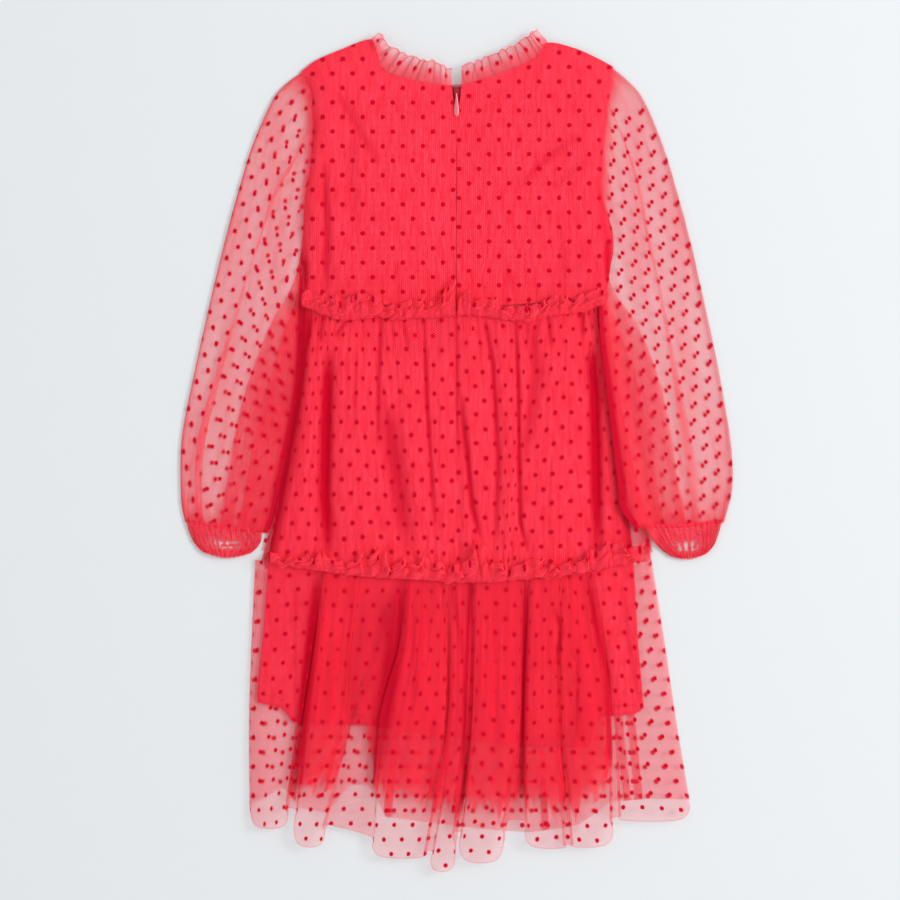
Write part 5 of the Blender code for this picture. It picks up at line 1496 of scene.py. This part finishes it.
def flat_band(seam, left, right):
    """The front part of a frill, pressed flat under the dress."""
    across = np.linspace(left, right, BAND_COLUMNS)
    share = np.linspace(-1, 1, BAND_ROWS)[:, None]
    middle = line(seam, across)
    height = FRONT_Z + 0.3 * np.sin(across * 0.9) * np.abs(share)
    down = middle + FRONT_BAND_HALF * share + 0.5 * np.sin(across * 0.5) * np.abs(share)
    return patch(across, down, height, (across * 1.4, down), 1.4)


class DRESS_OT_frills(bpy.types.Operator):
    """Make the frills that stand on the waist seam and on the second tier's seam"""
    bl_idname = "dress.frills"
    bl_label = "Seam frills"

    def execute(self, context):
        sizes = context.scene.dress_cloth
        net = net_finish(context, "frill_tulle", sizes.frill_share)
        rolled = thread_finish("rolled_edge", sizes.edge_colour)
        frills = (("waist_frill_left", WAIST_FRILL_LEFT, WAIST_FRILL_FOOT, 41, 1.1),
                  ("waist_frill_right", WAIST_FRILL_RIGHT, WAIST_FRILL_FOOT, 42, 1.1),
                  ("tier2_frill_back", TIER2_FRILL, TIER2_FRILL_FOOT, 43, 1.5))
        for name, upper, foot, seed, size in frills:
            grid = frill_grid(upper, foot, seed, size)
            middle = [(across, between(down, line(foot, across), FRILL_SECOND_REACH))
                      for across, down in upper]
            second = frill_grid(middle, foot, seed + 20, size)
            second = second._replace(points=second.points + (0.0, 0.0, FRILL_SECOND_LIFT))
            frill = cloth_object(f"{name}_tulle", [grid, second], net, name)
            edge = cords_object(f"{name}_edge", [grid.points[-1], second.points[-1]], FRILL_CORD,
                                rolled)
            dots = dots_object(context, f"{name}_dots", [grid], (3.0, 6.0))
        left, right = TIER2_FLUTES[0].left[0] + FRONT_BAND_HALF, TIER2_FLUTES[-1].right[0]
        fronts = (("waist_frill_front", WAIST_SEAM, SIDE_LEFT[-1][0], SIDE_RIGHT[-1][0]),
                  ("tier2_frill_front", TIER_SEAM, left, right))
        for name, seam, left, right in fronts:
            grid = flat_band(seam, left, right)
            frill = cloth_object(f"{name}_tulle", [grid], net, name)
        return {"FINISHED"}


def neck_grid(seam, edge, seed):
    """The neck frill: sheer panels between narrow pleats that run from the seam to the edge.

    It spans the seam and the edge evenly. Pleats are flat-topped bells across slanting lines,
    which lift the net and make it denser, and it is densest at the seam.
    """
    shares = np.linspace(0, 1, NECK_COLUMNS_IN_PLEAT * NECK_PLEATS)
    base = along(spline(seam, 60), shares)
    rim = along(spline(edge, 60), shares)
    out = np.linspace(0, 1, NECK_ROWS)[:, None]
    plan = between(base, rim, out[..., None])
    run = np.gradient(plan, axis=1)
    run = run / np.linalg.norm(run, axis=-1, keepdims=True)
    outward = np.stack([run[..., 1], -run[..., 0]], axis=-1)
    draw = np.random.default_rng(seed)
    centres = (np.arange(NECK_PLEATS) + 0.5 + draw.uniform(-0.3, 0.3, NECK_PLEATS)) / NECK_PLEATS
    slants = draw.uniform(-0.05, 0.05, NECK_PLEATS)
    widths = draw.uniform(0.4, 1.2, NECK_PLEATS)
    length = np.linalg.norm(np.diff(base, axis=0), axis=-1).sum()
    pleat = sum(np.exp(-np.abs((shares - middle - slant * out) * length / wide)**3)
                for middle, slant, wide in zip(centres, slants, widths))
    wave = ripple(shares * length, 0 * shares, seed, 12.0)
    fine = gathers(shares * length * 1.6, 13.0 * out, seed)
    uneven = 1.7 * ripple(shares * length, 0 * shares, seed + 1, 7.0) - 0.7 * pleat
    plan = plan + outward * (out**3 * uneven)[..., None]
    height = BODICE_BACK_Z + 0.3 + ease(out * 1.2) * (1.4 * wave + 0.9 * pleat + 0.4)
    width = 15.0 * out
    cloth = arc(plan)[-1] * 1.15
    density = 0.75 + 16.0 * np.exp(-(width / 3.4)**1.5) + 3.4 * pleat + 0.7 * fine
    # Painted shade in the pleats and in the fine gathers near the seam
    shade = np.clip(0.4 * fine * np.exp(-width / 6.0) + 0.8 * pleat, 0, 1)
    flat = (cloth + 0 * width, width + 0 * cloth)
    grid = patch(plan[..., 0], plan[..., 1], height, flat, density, shade)
    return Patch(*[values[::-1] for values in grid])


class DRESS_OT_neck(bpy.types.Operator):
    """Make the gathered frill round the neck: its two halves at the back and its front"""
    bl_idname = "dress.neck"
    bl_label = "Neck frill"

    def execute(self, context):
        sizes = context.scene.dress_cloth
        net = net_finish(context, "neck_tulle", sizes.neck_share)
        rolled = thread_finish("rolled_edge", sizes.edge_colour)
        for name, seam, edge, seed in (("left", BACK_TOP_LEFT[4:], NECK_EDGE_LEFT, 51),
                                       ("right", BACK_TOP_RIGHT[:6], NECK_EDGE_RIGHT, 52)):
            grid = neck_grid(seam, edge, seed)
            frill = cloth_object(f"neck_frill_{name}_tulle", [grid], net,
                                 f"neck_frill_{name}")
            dots = dots_object(context, f"neck_frill_{name}_dots", [grid], (6.0, 8.0))
            rim = cords_object(f"neck_frill_{name}_edge", [grid.points[0]], NECK_CORD, rolled)
        top = BACK_TOP_LEFT[5:-1] + BACK_TOP_RIGHT[1:5]
        base = spline(top, NECK_FRONT_COLUMNS)
        drop = FRONT_NECK_DROP * (1 - np.clip(np.abs(base[:, 0]) / NECK_HALF_WIDTH, 0, 1)**2)
        seam = base[:, 1] + drop
        wide = FRONT_FRILL_WIDTH * (1 - (base[:, 0] / NECK_HALF_WIDTH)**2) + 1.0
        out = np.linspace(1, 0, NECK_FRONT_ROWS)[:, None]
        wave = np.sin(2 * np.pi * NECK_FRONT_PLEATS * np.linspace(0, 1, NECK_FRONT_COLUMNS))
        height = 0.9 + 0.6 * wave * out
        flat = (base[:, 0] * 1.6, 14.0 * out)
        grid = patch(base[:, 0] + out * wave, seam - wide * out, height, flat, 1.3)
        frill = cloth_object("neck_frill_front_tulle", [grid], net,
                             "neck_frill_front")
        wide, long = cut_of(grid)
        return {"FINISHED"}


# Zip

class DRESS_OT_zip(bpy.types.Operator):
    """Make the zip: its tape, coil, slider and drop-shaped pull"""
    bl_idname = "dress.zip"
    bl_label = "Zip"

    def execute(self, context):
        sizes = context.scene.dress_cloth
        tape_cloth = cloth_finish("zip_tape_cloth", sizes.zip_colour,
                                  tuple(1.3 * c for c in sizes.zip_colour), (0.1, 0.0, 0.01))
        down = np.linspace(ZIP_TAPE_TOP, ZIP_TAPE_END, ZIP_ROWS)[:, None]
        across = np.linspace(-ZIP_TAPE_HALF, ZIP_TAPE_HALF, ZIP_COLUMNS)
        lowered = ease((down - ZIP_TAPE_STEP[0]) / ZIP_TAPE_STEP[1])
        height = between(*ZIP_TAPE_Z, lowered) + 0 * across
        grid = patch(across, down, height, (across, down))
        tape = cloth_object("zip_tape_woven", [grid], tape_cloth, "zip_tape")
        coil = thread_finish("zip_coil", sizes.coil_colour, 0.35)
        paths = []
        turn = np.linspace(0, 1, 7)
        for drop in np.arange(TEETH_TOP, TEETH_JOIN + TEETH_PAST_JOIN, TEETH_PITCH):
            apart = TEETH_APART * np.clip((TEETH_JOIN - drop) / (TEETH_JOIN - TEETH_TOP), 0, 1)
            for side in (-1, 1):
                shift = 0.0 if side < 0 else TEETH_PITCH / 2
                start, end = [side * (apart + reach) for reach in TOOTH_REACH]
                path = np.stack([between(start, end, turn), LENGTH / 2 - drop - shift + 0 * turn,
                                 TOOTH_Z + TOOTH_RISE * np.sin(np.pi * turn)], axis=-1)
                paths.append(path)
        cords_object("zip_coil_teeth", paths, TOOTH_CORD, coil)
        paint = thread_finish("zip_enamel", sizes.pull_colour, 0.3, 0.35, 0.4)
        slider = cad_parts["zip_slider"]
        slider.data.materials.clear()
        enamel = thread_finish("zip_slider_enamel", sizes.zip_colour, 0.3, 0.35, 0.4)
        slider.data.materials.append(enamel)
        self.pull(paint)
        return {"FINISHED"}

    def pull(self, paint):
        """The drop-shaped pull: rounded sections along its length, closed at both ends."""
        table = spline(PULL_SHAPE, PULL_RINGS)
        angle = np.linspace(0, 2 * np.pi, PULL_SIDES, endpoint=False)
        half = np.maximum(table[:, 1:2], 0.2)
        across = half * np.cos(angle)
        height = HINGE_Z + PULL_HALF_THICKNESS * np.sin(angle) * np.minimum(1.0, half / 0.7)
        along_pull = LENGTH / 2 - HINGE_DOWN - table[:, 0:1]
        points = np.stack(np.broadcast_arrays(across, along_pull, height), axis=-1)
        faces = cord_faces(PULL_RINGS, PULL_SIDES)
        made = make_object("zip_pull_drop", points.reshape(-1, 3), faces, [paint])
        finish_piece(made, PULL, ["zip_pull"])


# Stage

class DRESS_OT_stage(bpy.types.Operator):
    """Make the pale ground, the soft studio lights and the camera straight above"""
    bl_idname = "dress.stage"
    bl_label = "Stage"

    def execute(self, context):
        stage = context.scene.dress_stage
        corner = FLOOR_HALF * np.array([(-1, -1, 0), (1, -1, 0), (1, 1, 0), (-1, 1, 0)])
        floor = make_object("ground", corner, np.array([[0, 1, 2, 3]]), [floor_finish(context)])
        world = bpy.data.worlds.new("studio")
        world.use_nodes = True
        sky = world.node_tree.nodes["Background"]
        sky.inputs["Color"].default_value = colour4(stage.ambient_colour)
        sky.inputs["Strength"].default_value = stage.ambient_strength
        context.scene.world = world
        lamp = bpy.data.lights.new("softbox", "AREA")
        lamp.shape = "RECTANGLE"
        lamp.size, lamp.size_y = SOFTBOX_WIDTH, SOFTBOX_WIDTH
        lamp.energy = stage.key_power
        softbox = bpy.data.objects.new("softbox", lamp)
        softbox.location = stage.key_place
        context.scene.collection.objects.link(softbox)
        aim = -np.array(stage.key_place)
        softbox.rotation_euler = (float(np.arctan2(np.hypot(aim[0], aim[1]), -aim[2])), 0.0,
                                  float(np.arctan2(aim[1], aim[0]) - np.pi / 2))
        lens = bpy.data.cameras.new("camera")
        lens.sensor_width = SENSOR
        lens.lens = SENSOR * CAMERA_DISTANCE / FRAME_WIDTH
        lens.clip_end = FURTHEST_SEEN
        camera = bpy.data.objects.new("camera", lens)
        camera.location = (CAMERA_CENTRE[0] * MM, CAMERA_CENTRE[1] * MM, CAMERA_DISTANCE * MM)
        context.scene.collection.objects.link(camera)
        context.scene.camera = camera
        context.scene.view_settings.view_transform = "Standard"
        context.scene.cycles.transparent_max_bounces = NET_LAYERS_SEEN
        context.scene.cycles.diffuse_bounces = LIGHT_BOUNCES
        return {"FINISHED"}


# Panel and properties

def colour_property(name, description, default):
    """A colour that a user can change."""
    return bpy.props.FloatVectorProperty(name=name, description=description, default=default,
                                         size=3, min=0.0, max=1.0, subtype="COLOR")


def length_property(name, description, default, least, most):
    """A length in millimetres that a user can change."""
    return bpy.props.FloatProperty(name=name, description=description, default=default,
                                   min=least, max=most)


def share_property(name, description, default):
    """A share that a user can change."""
    return bpy.props.FloatProperty(name=name, description=description, default=default,
                                   min=0.02, max=0.95, subtype="FACTOR")


class DressCloth(bpy.types.PropertyGroup):
    """Sizes and colours of the dress's cloth"""
    dot_size: length_property("Dot size", "Width of a flocked dot in millimetres", 4.1, 1, 12)
    dot_pitch: length_property("Dot pitch", "Distance of dots in a row in millimetres", 16.4, 5, 60)
    dot_row: length_property("Dot rows", "Distance of the rows in millimetres", 11.9, 5, 60)
    net_pitch: length_property("Net cell", "Width of a cell of the net in millimetres", 1.9, 0.5, 5)
    net_share: share_property("Net cover", "Share of the net that is thread", 0.2)
    petticoat_share: share_property("Petticoat cover", "Share of gathered net that is thread", 0.8)
    frill_share: share_property("Frill cover", "Share of a seam frill that is thread", 0.5)
    neck_share: share_property("Neck frill cover", "Share of the neck frill that is thread", 0.3)
    net_colour: colour_property("Net", "Colour of the net's thread", (1.0, 0.034, 0.07))
    net_light: colour_property("Net highlight", "Lighter places of the net's thread",
                               (1.0, 0.06, 0.1))
    petticoat_colour: colour_property("Petticoat", "Colour of the petticoat's net",
                                      (1.0, 0.021, 0.05))
    lining_colour: colour_property("Lining", "Colour of the lining", (0.9, 0.024, 0.052))
    lining_light: colour_property("Lining highlight", "Lighter places of the lining",
                                  (0.97, 0.066, 0.11))
    # Painted shade: the colour that creases, valleys, gathers and shaded edges are darkened towards
    painted_shade_colour: colour_property("Folds", "Colour in the depth of folds", (0.64, 0.0, 0.02))
    dot_colour: colour_property("Dots", "Colour of the flocked dots", (0.5, 0.001, 0.016))
    edge_colour: colour_property("Rolled edges", "Colour of the frills' rolled edges",
                                 (1.0, 0.05, 0.085))
    thread_colour: colour_property("Stitching", "Colour of the stitching", (0.6, 0.01, 0.03))
    zip_colour: colour_property("Zip tape", "Colour of the zip's tape", (0.35, 0.006, 0.02))
    coil_colour: colour_property("Zip coil", "Colour of the zip's coil", (0.22, 0.0, 0.012))
    pull_colour: colour_property("Zip pull", "Colour of the enamelled pull", (0.8, 0.16, 0.2))


class DressStage(bpy.types.PropertyGroup):
    """Light and ground of the studio"""
    floor_colour: colour_property("Ground", "Colour of the ground", (0.735, 0.755, 0.765))
    ambient_colour: colour_property("Ambient colour", "Colour of the light from all round",
                                    (0.97, 0.985, 1.0))
    ambient_strength: bpy.props.FloatProperty(
        name="Ambient light", description="Strength of the light from all round", default=0.78,
        min=0.0, max=5.0)
    key_power: bpy.props.FloatProperty(
        name="Softbox power", description="Power of the softbox at the right", default=96.0,
        min=0.0, max=5000.0, subtype="POWER", unit="POWER")
    key_place: bpy.props.FloatVectorProperty(
        name="Softbox place", description="Where the softbox stands", default=(3.0, 0.8, 2.6),
        size=3, subtype="TRANSLATION", unit="LENGTH")


STEPS = ("stage", "bodice", "first_tier", "second_tier", "lining", "sleeves", "frills", "neck",
         "zip")


class DRESS_PT_panel(bpy.types.Panel):
    """Steps and settings of the dress"""
    bl_idname = "DRESS_PT_panel"
    bl_label = "Dress"
    bl_space_type = "VIEW_3D"
    bl_region_type = "UI"
    bl_category = "Dress"

    def draw(self, context):
        for step in STEPS:
            self.layout.operator(f"dress.{step}")
        for settings in (context.scene.dress_cloth, context.scene.dress_stage):
            for name in settings.__annotations__:
                self.layout.prop(settings, name)


CLASSES = (DressCloth, DressStage, DRESS_OT_stage, DRESS_OT_bodice, DRESS_OT_first_tier,
           DRESS_OT_second_tier, DRESS_OT_lining, DRESS_OT_sleeves, DRESS_OT_frills, DRESS_OT_neck,
           DRESS_OT_zip, DRESS_PT_panel)


def register():
    """Add the classes and their settings to Blender."""
    for kind in CLASSES:
        bpy.utils.register_class(kind)
    bpy.types.Scene.dress_cloth = bpy.props.PointerProperty(type=DressCloth)
    bpy.types.Scene.dress_stage = bpy.props.PointerProperty(type=DressStage)


def unregister():
    """Take the classes and their settings out again."""
    del bpy.types.Scene.dress_cloth
    del bpy.types.Scene.dress_stage
    for kind in reversed(CLASSES):
        bpy.utils.unregister_class(kind)


def main():
    """Make the whole dress."""
    register()
    for step in STEPS:
        getattr(bpy.ops.dress, step)()


if __name__ == "__main__":
    main()
